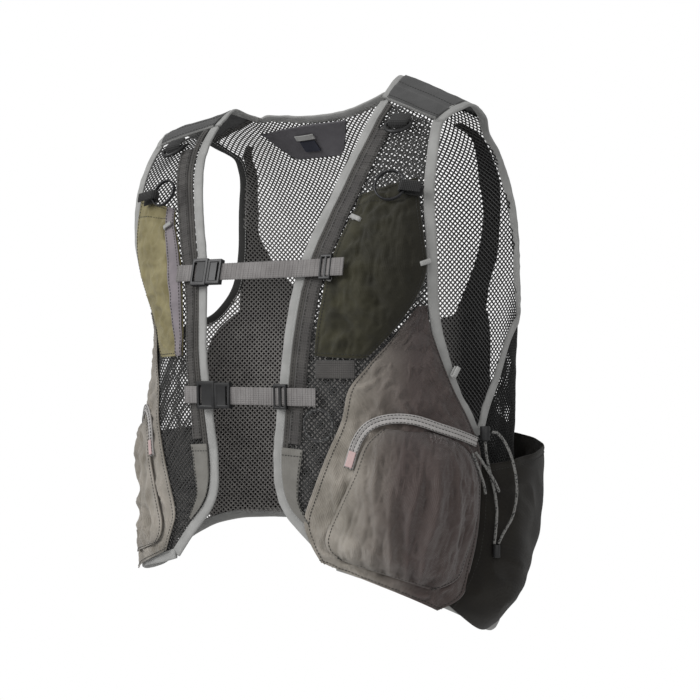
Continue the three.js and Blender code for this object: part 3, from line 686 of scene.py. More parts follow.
@dataclass(frozen=True)
class CordFinish:
    """Braided elastic cord with pale flecks."""

    name: str
    colour: Colour
    fleck: Colour
    size: float = 1.4

    def material(self) -> bpy.types.Material:
        """The cord as a material."""
        shader = Shader(self.name)
        shader.set(Roughness=0.7, Sheen_Weight=0.2)
        colour = shader.mix(shader.span(shader.noise(self.size, 0.0), 0.55, 0.62), self.colour, self.fleck)
        shader.bump([(shader.noise(0.6, 1.0), 0.15)])
        return shader.paint(colour)


Finish = ClothFinish | MouldedFinish | CordFinish


@cache
def material_of(finish: Finish) -> bpy.types.Material:
    """The one material of a finish."""
    return finish.material()


NET_FRONT = ClothFinish("net_front", (52, 52, 52), (60, 60, 59), deep=0.0)
# Painted light: the same dark net thread as the fronts, lightened where front light reaches the inside of the
# back; painted shade darkens it higher up and near black towards the wearer's left armhole.
NET_REAR_PAINTED_LIGHT = ClothFinish("net_rear", (146, 143, 140), (130, 127, 125), deep=0.0, tones=(
    Tone((92, 90, 88), "Z", -0.25, -0.16), Tone((20, 20, 20), "X", 0.05, 0.10)))
BINDING = ClothFinish("binding_tape", (164, 164, 162), (152, 152, 150), weave=0.9)
# Painted shade: the binding darkens towards the rear, where the right armhole's tape is seen from inside in
# shadow.
BINDING_PAINTED_SHADE = ClothFinish("binding_tape_shaded", (164, 164, 162), (152, 152, 150), weave=0.9,
                             tones=(Tone((54, 54, 53), "Y", -0.005, 0.03),))
PIPING = ClothFinish("piping", (150, 150, 148), (138, 138, 136), weave=0.8)
YOKE = ClothFinish("yoke_cloth", (70, 70, 70), (78, 78, 78))
BAND = ClothFinish("band_cloth", (78, 76, 73), (68, 66, 64))
WEBBING = ClothFinish("webbing", (80, 78, 76), (70, 68, 67), weave=1.8, deep=0.2)
STRAP = ClothFinish("strap_webbing", (134, 131, 130), (120, 117, 116), weave=1.8, deep=0.2)
DARK_WEB = ClothFinish("dark_webbing", (36, 36, 36), (46, 46, 46), weave=1.6, deep=0.2)
PALE_LOOP = ClothFinish("pale_loop", (170, 170, 168), (158, 158, 156), weave=1.2)
# Painted shade: the olive darkens towards the wearer's left side (X 0.09 to 0.15 m), away from the key light.
OLIVE = ClothFinish("olive_cloth", (58, 56, 38), (36, 35, 23), patch=18, rough=0.7,
                    tones=(Tone((34, 32, 22), "X", 0.09, 0.15),))
SIDE_CLOTH = ClothFinish("side_cloth", (30, 27, 21), (24, 21, 17), patch=22)
BACK_CLOTH = ClothFinish("back_cloth", (26, 23, 22), (21, 19, 18), patch=22)
KHAKI = ClothFinish("khaki_cloth", (140, 132, 98), (120, 112, 80), patch=16)
# Painted shade and painted sheen: the taupe turns a dark purple-brown towards the wearer's left side (X 0.10
# to 0.15 m), away from the key light, standing in for the cloth's two-tone sheen.
TAUPE = ClothFinish("taupe_cloth", (164, 157, 147), (128, 122, 112), patch=24, deep=0.25, rough=0.6,
                    sheen=0.3, tones=(Tone((78, 67, 64), "X", 0.10, 0.15),))
PATCH = ClothFinish("edge_patch_cloth", (124, 122, 117), (114, 112, 107))
TRIM = ClothFinish("trim_band", (134, 127, 131), (122, 116, 120))
ZIP = ClothFinish("zip_tape", (178, 175, 173), (164, 161, 159), weave=1.4, deep=0.2)
ROSE = ClothFinish("zip_end", (200, 174, 172), (188, 164, 163))
FACING = ClothFinish("facing_cloth", (98, 96, 100), (90, 88, 92))
LABEL = ClothFinish("label_cloth", (38, 40, 52), (44, 46, 58))
THREAD = ClothFinish("pale_thread", (172, 172, 170), (164, 164, 162), deep=0.0)
DARK_THREAD = ClothFinish("dark_thread", (52, 52, 50), (44, 44, 42), deep=0.0)
PLASTIC = MouldedFinish("moulded_black", (26, 26, 27), (34, 34, 35))
STEEL = MouldedFinish("coated_steel", (44, 44, 46), (58, 58, 60), rough=0.3, metal=0.6)
ELASTIC = CordFinish("elastic_cord", (126, 125, 122), (48, 48, 47))
RING_CORD = CordFinish("ring_cord", (30, 30, 31), (96, 96, 95))


def dress(piece: bpy.types.Object, finish: Finish, slot: Slot, *nodes: str) -> bpy.types.Object:
    """Give a piece its finish and its place in the part.

    Args:
        piece: The piece.
        finish: Its finish.
        slot: Its material slot; not used.
        nodes: Nodes of the part that it shows instead of.

    Returns:
        The piece.
    """
    piece.data.materials.clear()
    piece.data.materials.append(material_of(finish))
    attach(piece, "root")
    if nodes:
        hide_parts(*nodes)
    return piece


class Stitching:
    """Rows of stitches gathered into one mesh for each thread."""

    def __init__(self) -> None:
        """Start with no rows."""
        self.rows: dict[Finish, list[tuple[Array, Array]]] = {}

    def row(self, finish: Finish, line: Array, normals: Array) -> None:
        """Add a row.

        Args:
            finish: Thread.
            line: Points along the row.
            normals: Which way is out of the cloth.
        """
        self.rows.setdefault(finish, []).append((line, normals))

    def build(self, long: float = 2.1, pitch: float = 3.0, wide: float = 0.55, tall: float = 0.4) -> None:
        """Make the stitches of all rows.

        Args:
            long: Length of a stitch.
            pitch: Distance from one to the next.
            wide: Width of the thread.
            tall: Height of the thread.
        """
        for finish, rows in self.rows.items():
            blocks = []
            for line, normals in rows:
                even, out = resampled(pitch, line, normals)
                way = unit(np.gradient(even, axis=0))
                out = unit(out)
                side = unit(np.cross(out, way))
                corners = [
                    even + way * a * long / 2 * (0.6 if c > 0 else 1) + side * b * wide / 2 + out * c * tall
                    for a, b, c in ((-1, -1, 0), (1, -1, 0), (1, 1, 0), (-1, 1, 0), (-1, -1, 1),
                                    (1, -1, 1), (1, 1, 1), (-1, 1, 1))
                ]
                blocks.append(np.stack(corners, axis=1))
            points = np.concatenate(blocks)
            cube = np.array(((0, 3, 2, 1), (4, 5, 6, 7), (0, 1, 5, 4), (1, 2, 6, 5), (2, 3, 7, 6),
                             (3, 0, 4, 7)))
            faces = (np.arange(len(points))[:, None, None] * 8 + cube).reshape(-1, 4)
            piece = make_mesh(f"stitches_{finish.name}", points.reshape(-1, 3), [faces], smooth=False)
            dress(piece, finish, Slot.BINDING)


STITCHES = Stitching()


def seam_rows(finish: Finish, grid: Array, height: Array | float, cells: Iterable[tuple[str, int]]) -> None:
    """Stitch along rows or columns of a sheet's grid.

    Args:
        finish: Thread.
        grid: Points on the form.
        height: Height of the cloth's face.
        cells: "row" or "column", and which one.
    """
    normals = grid_normals(grid)
    top = grid + normals * np.broadcast_to(height, grid.shape[:2])[..., None]
    normals = grid_normals(top)
    for kind, k in cells:
        pick = (k, slice(1, -1)) if kind == "row" else (slice(1, -1), k)
        STITCHES.row(finish, top[pick], normals[pick])


FRONT_ROWS = np.array((
    (25.3, -26, 40.6, -51), (23.8, -66, 42.8, -82), (21, -104, 45, -116), (18, -138, 48.8, -154),
    (15.2, -168, 51.4, -184), (12.8, -206, 53.8, -212), (11.2, -250, 57, -240), (9.8, -295, 62.2, -275),
    (8.8, -335, 71, -309), (9.4, -362, 71, -350), (12, -381, 71, -390), (17.5, -399, 71, -425),
    (25.5, -424, 71, -461),
))
BACK_COLUMNS = np.array((
    (71.2, -309, 71.2, -461), (76, -286, 78, -467), (87, -258, 87, -475), (97, -230, 96, -477),
    (108, -214, 105, -467), (119, -207, 114, -450), (126, -192, 122, -433), (131, -172, 129, -425),
    (134.5, -140, 135, -421), (137, -105, 140, -420), (139, -72, 145, -419), (140.6, -44, 150, -419),
    (146, -28, 155, -418), (150.5, -20, 160, -418), (158, -6, 165, -418), (164.5, -8, 170, -417),
    (172, -11.5, 175, -417), (180, -12.5, 180, -417),
))
YOKE_ROWS = np.array((
    (-25, 88, 152), (-16, 88.7, 155.5), (-8, 89.4, 158.5), (-2.5, 90, 160.5),
    (0, 90, 161), (1.5, 88, 160), (4, 83, 158.5), (8, 75, 157),
))


class Edges:
    """Edges of the net panels on the wearer's left, as rows of turn and level."""

    seam_row = 8
    tip_column = 11
    neck_column = 14

    def __init__(self) -> None:
        """Draw the edges through their tables."""
        self.inner = spline(FRONT_ROWS[:, :2], 144)
        self.outer = spline(FRONT_ROWS[:, 2:], 144)
        self.front_hem = np.linspace(FRONT_ROWS[-1, :2], FRONT_ROWS[-1, 2:], 40)
        self.back_top = spline(BACK_COLUMNS[:, :2], 204)
        self.back_hem = spline(BACK_COLUMNS[:, 2:], 204)

    @property
    def armhole_front(self) -> Array:
        """Front part of the armhole edge, from the shoulder down."""
        return self.outer[: self.seam_row * 12 + 1]

    @property
    def armhole_rear(self) -> Array:
        """Rear part of the armhole edge, from the side seam up."""
        return self.back_top[: self.tip_column * 12 + 1]

    @property
    def yoke_rear(self) -> Array:
        """Edge of the back under the yoke, from the tip to the neck."""
        x = np.linspace(150, 78, 25)
        level = FORM.ridge(x) - 5
        return np.stack((FORM.turn_at(x, level, True), level), axis=1)

    @property
    def neck_rear(self) -> Array:
        """Edge of the back at the neck, from the shoulder to the middle."""
        return self.back_top[self.neck_column * 12:]

    def yoke(self, along: Array, into: float, from_tip: bool, side: Side) -> Array:
        """Points down the yoke's neck edge or its tip edge.

        Args:
            along: Shares from the front seam to the rear seam.
            into: Distance in from the edge.
            from_tip: Whether it is the tip edge.
            side: Side of the body.

        Returns:
            Points on the form.
        """
        rows = spline(YOKE_ROWS, 280)[np.round(np.asarray(along) * 280).astype(int)]
        x = rows[:, 2] - into if from_tip else rows[:, 1] + into
        return yoke_points(rows[:, 0], x, side)


def yoke_points(drop: Array, x: Array, side: Side) -> Array:
    """Points near the shoulder ridge.

    Args:
        drop: Distance below the ridge, negative at the front.
        x: Distance across the body.
        side: Side of the body.

    Returns:
        Points on the form.
    """
    level = FORM.ridge(x) - np.abs(drop)
    return FORM.point(side.value * FORM.turn_at(x, level, drop > 0), level)


EDGES = Edges()


def inside_outline(outline: Array, x: Array, y: Array) -> Array:
    """Which points lie inside a closed outline.

    Args:
        outline: Corners of the outline.
        x: First coordinate of the points.
        y: Second coordinate of the points.

    Returns:
        True inside.
    """
    inside = np.zeros(x.shape, bool)
    for (x0, y0), (x1, y1) in zip(outline, np.roll(outline, -1, axis=0)):
        crosses = (y0 > y) != (y1 > y)
        with np.errstate(divide="ignore", invalid="ignore"):
            inside ^= crosses & (x < (x1 - x0) * (y - y0) / (y1 - y0) + x0)
    return inside


@dataclass(frozen=True)
class NetBody:
    """The net: two fronts and a back, as a diagonal lattice of flat threads."""

    pitch: float = 5.1
    thread: float = 1.62
    tall: float = 0.8
    under: float = 4.0

    def build(self) -> None:
        """Make the three panels."""
        edges = EDGES
        arm = FORM.inset(edges.armhole_front, self.under, -1)
        front = np.concatenate((
            FORM.inset(edges.inner, self.under, 1),
            FORM.inset(edges.front_hem, self.under, 1)[2:],
            edges.outer[len(arm):][::-1],
            arm[::-1],
        ))
        for side in Side:
            self.panel(f"net_front_{side.tag}", front, side, 0.0, (6.0, 76.0), 40.0, NET_FRONT,
                       f"front_panel_{side.tag}")
        top = np.concatenate((
            FORM.inset(edges.armhole_rear, self.under, -1),
            edges.yoke_rear,
            FORM.inset(edges.neck_rear, self.under, -1),
        ))
        half = np.concatenate((FORM.inset(edges.back_hem, self.under, 1)[::-1], top))
        half[:, 0] = np.where(half[:, 0] < 72, 70.6, half[:, 0])
        other = half[::-1] * np.array((-1.0, 1.0)) + np.array((360.0, 0.0))
        back = np.concatenate((half, other))
        # The back's net thread carries painted light and painted shade.
        self.panel("net_back", back, Side.LEFT, 180.0, (66.0, 294.0), 160.0, NET_REAR_PAINTED_LIGHT, "back_panel")

    def panel(self, name: str, outline: Array, side: Side, centre: float, turns: tuple[float, float],
              spine: float, finish: Finish, node: str) -> None:
        """Make one panel.

        Args:
            name: Name of the piece.
            outline: Edge as turn and level.
            side: Side of the body.
            centre: Turn that the lattice is counted from.
            turns: First and last turn.
            spine: Turn that levels are counted along.
            finish: Finish of the thread.
            node: Node that it shows instead of.
        """
        step = self.pitch / 2
        sign = side.value
        fine = np.linspace(outline[:, 1].max() + 1, outline[:, 1].min() - 1, 1500)
        run = runs_of(FORM.point(np.full(1500, sign * spine), fine))
        levels = np.interp(np.arange(0, run[-1], step), run, fine)
        around = np.linspace(*turns, 500)
        count = int(340 / step)
        columns = np.arange(-count, count + 1)
        turn = np.full((len(levels), len(columns)), np.nan)
        for j, level in enumerate(levels):
            line = runs_of(FORM.point(sign * around, np.full(500, level)))
            line -= np.interp(centre, around, line)
            turn[j] = np.interp(columns * step, line, around, left=np.nan, right=np.nan)
        level = np.broadcast_to(levels[:, None], turn.shape)
        known = ~np.isnan(turn)
        turn = np.where(known, turn, centre + 20)
        inside = known & inside_outline(outline, turn, level)
        points = FORM.point(sign * turn, level)
        out = FORM.slopes(sign * turn, level)[2]
        points = points + out * (Crinkle(5, 52, 0.9).at(points)[..., None] - 0.6)
        threads = [self.thread_runs(points, out, inside, way, way * 0.18) for way in (1, -1)]
        piece = self.join(name, [run for family in threads for run in family])
        dress(piece, finish, Slot.NET, node)

    def thread_runs(self, points: Array, out: Array, inside: Array, way: int,
                    lift: float) -> list[tuple[Array, Array]]:
        """Unbroken threads of one family.

        Args:
            points: Lattice points.
            out: Normals there.
            inside: Points inside the panel.
            way: Direction of the family, 1 or -1.
            lift: Height of the family over the form.

        Returns:
            Points and normals of each thread.
        """
        rows, columns = inside.shape
        threads = []
        for start in range(-rows, columns + rows, 2):
            j = np.arange(rows)
            i = start + way * j
            fits = (i >= 0) & (i < columns)
            j, i = j[fits], i[fits]
            if len(j) < 3:
                continue
            keep = np.flatnonzero(inside[j, i])
            for part in np.split(keep, np.flatnonzero(np.diff(keep) > 1) + 1):
                if len(part) < 3:
                    continue
                pick = np.unique(np.append(part[::2], part[-1]))
                threads.append((points[j[pick], i[pick]] + out[j[pick], i[pick]] * lift,
                                out[j[pick], i[pick]]))
        return threads

    def join(self, name: str, threads: list[tuple[Array, Array]]) -> bpy.types.Object:
        """All threads of a panel as one mesh of three-sided strands.

        Args:
            name: Name of the piece.
            threads: Points and normals of each thread.

        Returns:
            The mesh.
        """
        points, quads, caps, start = [], [], [], 0
        for line, out in threads:
            way = unit(np.gradient(line, axis=0))
            side = unit(np.cross(out, way)) * self.thread / 2
            ring = np.stack((line - side, line + side, line + out * self.tall), axis=1)
            n = len(line)
            index = start + np.arange(n * 3).reshape(n, 3)
            wrap = np.concatenate((index, index[:, :1]), axis=1)
            faces = np.stack((wrap[:-1, :-1], wrap[:-1, 1:], wrap[1:, 1:], wrap[1:, :-1]), -1)
            quads.append(faces.reshape(-1, 4))
            caps.append(np.stack((index[0][::-1], index[-1])))
            points.append(ring.reshape(-1, 3))
            start += n * 3
        return make_mesh(name, np.concatenate(points), [np.concatenate(quads), np.concatenate(caps)])


TAPE = np.array((
    (8.9, 0.35), (8.75, 0.85), (8.1, 1.0), (7.35, 0.8), (6.6, 1.1),
    (4.4, 1.3), (2.0, 1.4), (0.4, 1.2), (-0.3, 0.6),
    (-0.3, -0.3), (0.4, -0.7), (2.0, -0.9), (4.4, -0.9), (6.6, -0.8),
    (7.35, -0.6), (8.1, -0.75), (8.75, -0.6), (8.9, -0.2),
))


@dataclass(frozen=True)
class Bindings:
    """Folded tape over every raw edge, stitched near its inner edge."""

    width: float = 9.0
    station: float = 3.5

    def build(self) -> None:
        """Make the six bindings."""
        edges = EDGES
        down = np.linspace(0, 1, 41)
        for side in Side:
            tag = side.tag
            inner = FORM.inset(edges.inner, self.width, 1)
            self.tape(f"bound_front_{tag}", FORM.on(edges.inner, side), FORM.on(inner, side), False,
                      f"binding_front_{tag}")
            loops = []
            for into in (0.0, self.width):
                front = FORM.on(FORM.inset(edges.armhole_front, into, -1), side)
                rear = FORM.on(FORM.inset(edges.armhole_rear, into, -1), side)
                tip = edges.yoke(down[::-1], into, True, side)
                loops.append(np.concatenate((front, rear[1:], tip[1:-1])))
            self.tape(f"bound_armhole_{tag}", *loops, True, f"binding_armhole_{tag}")
        necks, hems = [], []
        for into in (0.0, self.width):
            halves = {}
            for side in Side:
                rear = FORM.on(FORM.inset(edges.neck_rear, into, -1), side)
                halves[side] = np.concatenate((edges.yoke(down, into, False, side), rear[1:]))
            necks.append(np.concatenate((halves[Side.LEFT], halves[Side.RIGHT][::-1][1:])))
            row = np.concatenate((edges.front_hem, edges.back_hem[1:]))
            row = FORM.inset(row, into, 1)
            hems.append(np.concatenate((FORM.on(row), FORM.on(row, Side.RIGHT)[::-1][1:])))
        self.tape("bound_neck", *necks, False, "binding_neck")
        self.tape("bound_hem", *hems, False, "binding_hem")

    def tape(self, name: str, outer: Array, inner: Array, closed: bool, node: str) -> None:
        """Make one binding and its stitches.

        Args:
            name: Name of the piece.
            outer: Raw edge.
            inner: Line that the tape reaches to.
            closed: Whether it is a loop.
            node: Node that it shows instead of.
        """
        if closed:
            outer, inner = (np.concatenate((line, line[:1])) for line in (outer, inner))
        outer, inner = resampled(self.station, outer, inner)
        if closed:
            outer, inner = outer[:-1], inner[:-1]
        outer = eased(outer, closed, 2)
        along = np.gradient(outer, axis=0)
        if closed:
            along = np.roll(outer, -1, axis=0) - np.roll(outer, 1, axis=0)
        into = unit(eased(inner - outer, closed, 4))
        out = unit(eased(facing_out(unit(np.cross(into, along)), outer), closed, 4))
        wave = Crinkle(len(name), 26, 0.5).at(outer)[:, None, None]
        tape = TAPE * np.array((1.0, 1.15))
        rise = tape[None, :, 1:] + wave * (tape[None, :, :1] < 6)
        sections = outer[:, None] + into[:, None] * tape[None, :, :1] + out[:, None] * rise
        # The right armhole's tape takes painted shade towards the rear.
        finish = BINDING_PAINTED_SHADE if name.endswith("armhole_right") else BINDING
        dress(tube_mesh(name, sections, closed), finish, Slot.BINDING, node)
        for place, sign in ((3, 1), (14, -1)):
            STITCHES.row(THREAD, sections[:, place] - out * 0.05 * sign, out * sign)


@dataclass(frozen=True)
class Ribbon:
    """Flat webbing along a line, with ribs across it."""

    wide: float
    thick: float = 1.6
    rib: float = 2.6
    ridge: float = 0.28

    def build(self, name: str, line: Array, across: Array) -> bpy.types.Object:
        """Make the webbing.

        Args:
            name: Name of the piece.
            line: Middle of the webbing.
            across: Direction of its width at each point.

        Returns:
            The piece.
        """
        step = self.rib / 5 if self.rib else 1.5
        line, across = resampled(step, line, across)
        across = unit(across)
        out = unit(np.cross(np.gradient(line, axis=0), across))
        deep = self.ridge * np.sin(2 * pi * runs_of(line) / self.rib) if self.rib else np.zeros(len(line))
        half, t = self.wide / 2, self.thick / 2
        shape = np.array((
            (-half, -0.4 * t), (-half + 0.6, -t), (0, -t), (half - 0.6, -t), (half, -0.4 * t),
            (half, 0.4 * t), (half - 0.6, t), (0, t), (-half + 0.6, t), (-half, 0.4 * t),
        ))
        tall = shape[None, :, 1:] + np.sign(shape[None, :, 1:]) * deep[:, None, None]
        return tube_mesh(name, line[:, None] + across[:, None] * shape[None, :, :1] + out[:, None] * tall,
                         False)


class Bench:
    """Hard pieces shaped with the modelling operators, in millimetres."""

    @staticmethod
    def clear() -> None:
        """Leave nothing selected."""
        for piece in list(bpy.context.selected_objects):
            piece.select_set(False)

    @classmethod
    def only(cls, piece: bpy.types.Object) -> None:
        """Select one piece and make it active."""
        cls.clear()
        piece.select_set(True)
        bpy.context.view_layer.objects.active = piece

    @classmethod
    def block(cls, name: str, size: tuple[float, float, float],
              at: tuple[float, float, float] = (0, 0, 0)) -> bpy.types.Object:
        """A plain block.

        Args:
            name: Name of the piece.
            size: Lengths along X, Y and Z.
            at: Its middle.

        Returns:
            The block.
        """
        cls.clear()
        bpy.ops.mesh.primitive_cube_add(size=1, location=[c * MM for c in at])
        piece = bpy.context.object
        piece.name = name
        piece.scale = [s * MM for s in size]
        bpy.ops.object.transform_apply(location=True, rotation=True, scale=True)
        return piece

    @classmethod
    def drum(cls, name: str, radius: float, tall: float) -> bpy.types.Object:
        """A round block along Z."""
        cls.clear()
        bpy.ops.mesh.primitive_cylinder_add(vertices=32, radius=radius * MM, depth=tall * MM)
        bpy.context.object.name = name
        return bpy.context.object

    @classmethod
    def inset(cls, piece: bpy.types.Object, way: tuple[float, float, float], margin: float,
              depth: float) -> None:
        """Set in the faces that look one way.

        Args:
            piece: The piece.
            way: Direction that the faces look.
            margin: Width of the rim left.
            depth: Height of the faces over their rim, in millimetres.
        """
        cls.only(piece)
        for polygon in piece.data.polygons:
            polygon.select = polygon.normal.dot(Vector(way)) > 0.9
        bpy.ops.object.mode_set(mode="EDIT")
        bpy.ops.mesh.select_mode(type="FACE")
        bpy.ops.mesh.inset(thickness=margin * MM, depth=0)
        bpy.ops.mesh.inset(thickness=abs(depth) * MM, depth=depth * MM)
        bpy.ops.object.mode_set(mode="OBJECT")

    @classmethod
    def cut(cls, piece: bpy.types.Object, size: tuple[float, float, float],
            at: tuple[float, float, float]) -> None:
        """Cut a block out of a piece.

        Args:
            piece: The piece.
            size: Lengths of the block.
            at: Its middle.
        """
        cutter = cls.block("cutter", size, at)
        cls.only(piece)
        modifier = piece.modifiers.new("cut", "BOOLEAN")
        modifier.object = cutter
        modifier.solver = "EXACT"
        bpy.ops.object.modifier_apply(modifier=modifier.name)
        bpy.data.objects.remove(cutter, do_unlink=True)

    @classmethod
    def soften(cls, piece: bpy.types.Object, width: float, segments: int = 3) -> None:
        """Round a piece's sharp edges.

        Args:
            piece: The piece.
            width: Width of the rounding.
            segments: Faces across it.
        """
        cls.only(piece)
        modifier = piece.modifiers.new("soft", "BEVEL")
        modifier.width = width * MM
        modifier.segments = segments
        modifier.limit_method = "ANGLE"
        bpy.ops.object.modifier_apply(modifier=modifier.name)
        bpy.ops.object.shade_smooth_by_angle(angle=radians(40))

    @classmethod
    def join(cls, pieces: Sequence[bpy.types.Object]) -> bpy.types.Object:
        """Join pieces into the first."""
        cls.clear()
        for piece in pieces:
            piece.select_set(True)
        bpy.context.view_layer.objects.active = pieces[0]
        bpy.ops.object.join()
        return pieces[0]

    @classmethod
    def wire(cls, name: str, line: Array, radius: float, closed: bool) -> bpy.types.Object:
        """Round wire along a line.

        Args:
            name: Name of the piece.
            line: Points in millimetres.
            radius: Radius of the wire.
            closed: Whether it is a loop.

        Returns:
            The wire, as a mesh.
        """
        cls.clear()
        curve = draw_curve(name, line, radius, closed)
        cls.only(curve)
        bpy.ops.object.convert(target="MESH")
        bpy.ops.object.shade_smooth()
        return bpy.context.object

    @staticmethod
    def place(piece: bpy.types.Object, matrix: Matrix) -> bpy.types.Object:
        """Move a piece's mesh where it belongs, leaving the object at the origin."""
        piece.data.transform(matrix)
        piece.data.update()
        return piece


def draw_curve(name: str, line: Array, radius: float, closed: bool = False) -> bpy.types.Object:
    """A round cord as a curve.

    Args:
        name: Name of the piece.
        line: Points in millimetres.
        radius: Radius of the cord.
        closed: Whether it is a loop.

    Returns:
        The curve object.
    """
    curve = bpy.data.curves.new(name, "CURVE")
    curve.dimensions = "3D"
    curve.bevel_depth = radius * MM
    curve.bevel_resolution = 3
    curve.use_fill_caps = not closed
    path = curve.splines.new("POLY")
    path.points.add(len(line) - 1)
    path.points.foreach_set("co", np.c_[line * MM, np.ones(len(line))].ravel())
    path.use_cyclic_u = closed
    path.use_smooth = True
    piece = bpy.data.objects.new(name, curve)
    bpy.context.scene.collection.objects.link(piece)
    return piece


class CordRoute(NamedTuple):
    """A free cord: its name, where it goes and how it ends."""

    name: str
    far_end: str
    path: tuple[tuple[float, float, float], ...]


CORD_ROUTES = (
    CordRoute("cord_long", "fitting", (
        (197.2, -42, -310), (200, -38, -311), (204, -32.5, -318), (207.5, -26, -331), (210, -22, -348),
        (210, -20.5, -365), (207, -22.5, -382), (201.5, -26.5, -394), (197.4, -29.4, -404))),
    CordRoute("cord_short", "fitting", (
        (191.5, -43.6, -318), (192, -41.5, -331), (194, -38, -346), (196, -34, -361), (197, -32, -376),
        (196, -31.4, -391), (194.7, -31.6, -404))),
    CordRoute("zip_cord_long", "bare", (
        (188.5, -56, -326), (190.4, -52, -331), (193.6, -45.5, -340), (197, -38, -350),
        (199.6, -33, -360))),
    CordRoute("zip_cord_short", "bare", (
        (187, -59, -327), (188.4, -56, -333), (190.4, -51.6, -343), (192, -47.6, -353),
        (192.6, -45.6, -361))),
)


@dataclass(frozen=True)
class Cords:
    """Elastic cords at the wearer's left side, their lock and their end."""

    diameter: float = 2.4
    lock_at: tuple[float, float, float] = (191.5, -44, -311)
    end_at: tuple[float, float, float] = (196, -30.5, -410)

    def build(self) -> None:
        """Make the cords and their fittings."""
        lock = self.barrel("cord_lock_barrel", 5.0, 13.0, self.lock_at, "cord_lock")
        end = self.barrel("cord_end_bell", 3.2, 11.0, self.end_at, "cord_end")
        log.info("cord fittings %s %s", lock.name, end.name)
        for route in CORD_ROUTES:
            line = spline(route.path, 60)
            piece = draw_curve(f"elastic_{route.name}", line, self.diameter / 2)
            dress(piece, ELASTIC, Slot.CORD, route.name)

    def barrel(self, name: str, radius: float, tall: float, at: tuple[float, float, float],
               node: str) -> bpy.types.Object:
        """A turned fitting along Z, with a groove and soft ends.

        Args:
            name: Name of the piece.
            radius: Its radius.
            tall: Its height.
            at: Its middle.
            node: Node that it shows instead of.

        Returns:
            The fitting.
        """
        piece = Bench.drum(name, radius, tall)
        Bench.inset(piece, (0, 0, 1), radius * 0.3, -0.8)
        Bench.inset(piece, (0, 0, -1), radius * 0.3, -0.5)
        Bench.soften(piece, radius * 0.16)
        Bench.place(piece, Matrix.Translation(Vector(at) * MM))
        return dress(piece, PLASTIC, Slot.PLASTIC, node)


@dataclass(frozen=True)
class Shoulders:
    """Yokes over the shoulder ridge with piping, and tabs that hold half-round rings."""

    thick: float = 1.2
    tab_turn: float = 32.9
    tab_level: float = -55.0
    tab_lift: float = 5.6
    tab_tilt: float = -14.0

    def build(self) -> None:
        """Make both shoulders."""
        for side in Side:
            self.yoke(side)
            self.tab(side)

    def yoke(self, side: Side) -> None:
        """Make one yoke and the piping along its front seam.

        Args:
            side: Side of the body.
        """
        rows = spline(YOKE_ROWS, 56)
        share = np.linspace(0, 1, 33)
        x = rows[:, 1:2] + 6 + (rows[:, 2:3] - rows[:, 1:2] - 12) * share
        grid = yoke_points(np.broadcast_to(rows[:, :1], x.shape), x, side)
        lap = 0.8 * np.clip((-rows[:, :1] - 11.5) / 0.8, 0, 1)
        height = 0.3 + lap + Crinkle(3 + side.value, 34, 0.5).at(grid)
        piece = dress(sheet_mesh(f"shoulder_yoke_{side.tag}", grid, height, self.thick), YOKE, Slot.YOKE,
                      f"yoke_{side.tag}")
        seam_rows(DARK_THREAD, grid, height + self.thick, [("row", 16), ("row", 3), ("row", 53)])
        line = grid[0] + grid_normals(grid)[0] * 1.4
        pipe = draw_curve(f"yoke_piping_{side.tag}", line, 1.3)
        Bench.only(pipe)
        bpy.ops.object.convert(target="MESH")
        dress(bpy.context.object, PIPING, Slot.BINDING)

    def tab(self, side: Side) -> None:
        """Make one webbing tab and its ring.

        Args:
            side: Side of the body.
        """
        seat = FORM.seat(side.value * self.tab_turn, self.tab_level, self.tab_lift)
        seat = seat @ Matrix.Rotation(radians(self.tab_tilt), 4, "X")
        dress(hairpin(f"shoulder_tab_{side.tag}", 11, 17.5, 2.3, seat), DARK_WEB, Slot.WEBBING,
              f"ring_tab_{side.tag}")
        bend = np.linspace(pi, 2 * pi, 25)
        bow = np.stack((10.7 * np.cos(bend), -2.0 + 11.6 * np.sin(bend), np.zeros(25)), 1)
        ring = np.concatenate((np.array(((10.2, 0.0, 0.0), (0.0, 0.0, 0.0), (-10.2, 0.0, 0.0))), bow))
        piece = Bench.wire(f"half_ring_{side.tag}", ring, 1.6, True)
        dress(Bench.place(piece, seat), PLASTIC, Slot.PLASTIC, f"d_ring_{side.tag}")


def hairpin(name: str, long: float, wide: float, eye: float, seat: Matrix) -> bpy.types.Object:
    """Webbing doubled round a bar.

    Args:
        name: Name of the piece.
        long: Length of its two legs.
        wide: Width of the webbing.
        eye: Radius of the bend inside.
        seat: Where the bend's middle is.

    Returns:
        The tab.
    """
    middle = eye + 0.8
    bend = np.linspace(0, -pi, 15)
    turn = np.stack((np.zeros(15), middle * np.sin(bend), middle * np.cos(bend)), 1)
    line = np.concatenate((((0, long, middle),), turn, ((0, long, -middle),)))
    piece = Ribbon(wide, 1.6, 1.6, 0.1).build(name, line, np.tile((1.0, 0.0, 0.0), (len(line), 1)))
    return Bench.place(piece, seat)


@dataclass(frozen=True)
class SideRings:
    """Round split rings on dark tabs at the armhole edges."""

    lift: float = 11.6
    radius: float = 12.6

    def build(self) -> None:
        """Make both rings and their tabs."""
        for side, turn, level in ((Side.LEFT, 38.6, -113), (Side.RIGHT, 33.6, -104)):
            seat = FORM.seat(side.value * turn, level, self.lift, -side.value * 90)
            tab = hairpin(f"flank_tab_{side.tag}", 15, 9, 3.2, seat)
            dress(tab, DARK_WEB, Slot.WEBBING, f"side_tab_{side.tag}")
            turns = np.linspace(0, 4 * pi * 0.985, 129)
            climb = 1.7 * (turns / (4 * pi) - 0.5) * 2
            coil = np.stack((self.radius * np.sin(turns), self.radius * (np.cos(turns) - 1), climb), 1)
            ring = Bench.wire(f"split_ring_{side.tag}", coil, 0.85, False)
            dress(Bench.place(ring, seat), STEEL, Slot.STEEL, f"side_ring_{side.tag}")


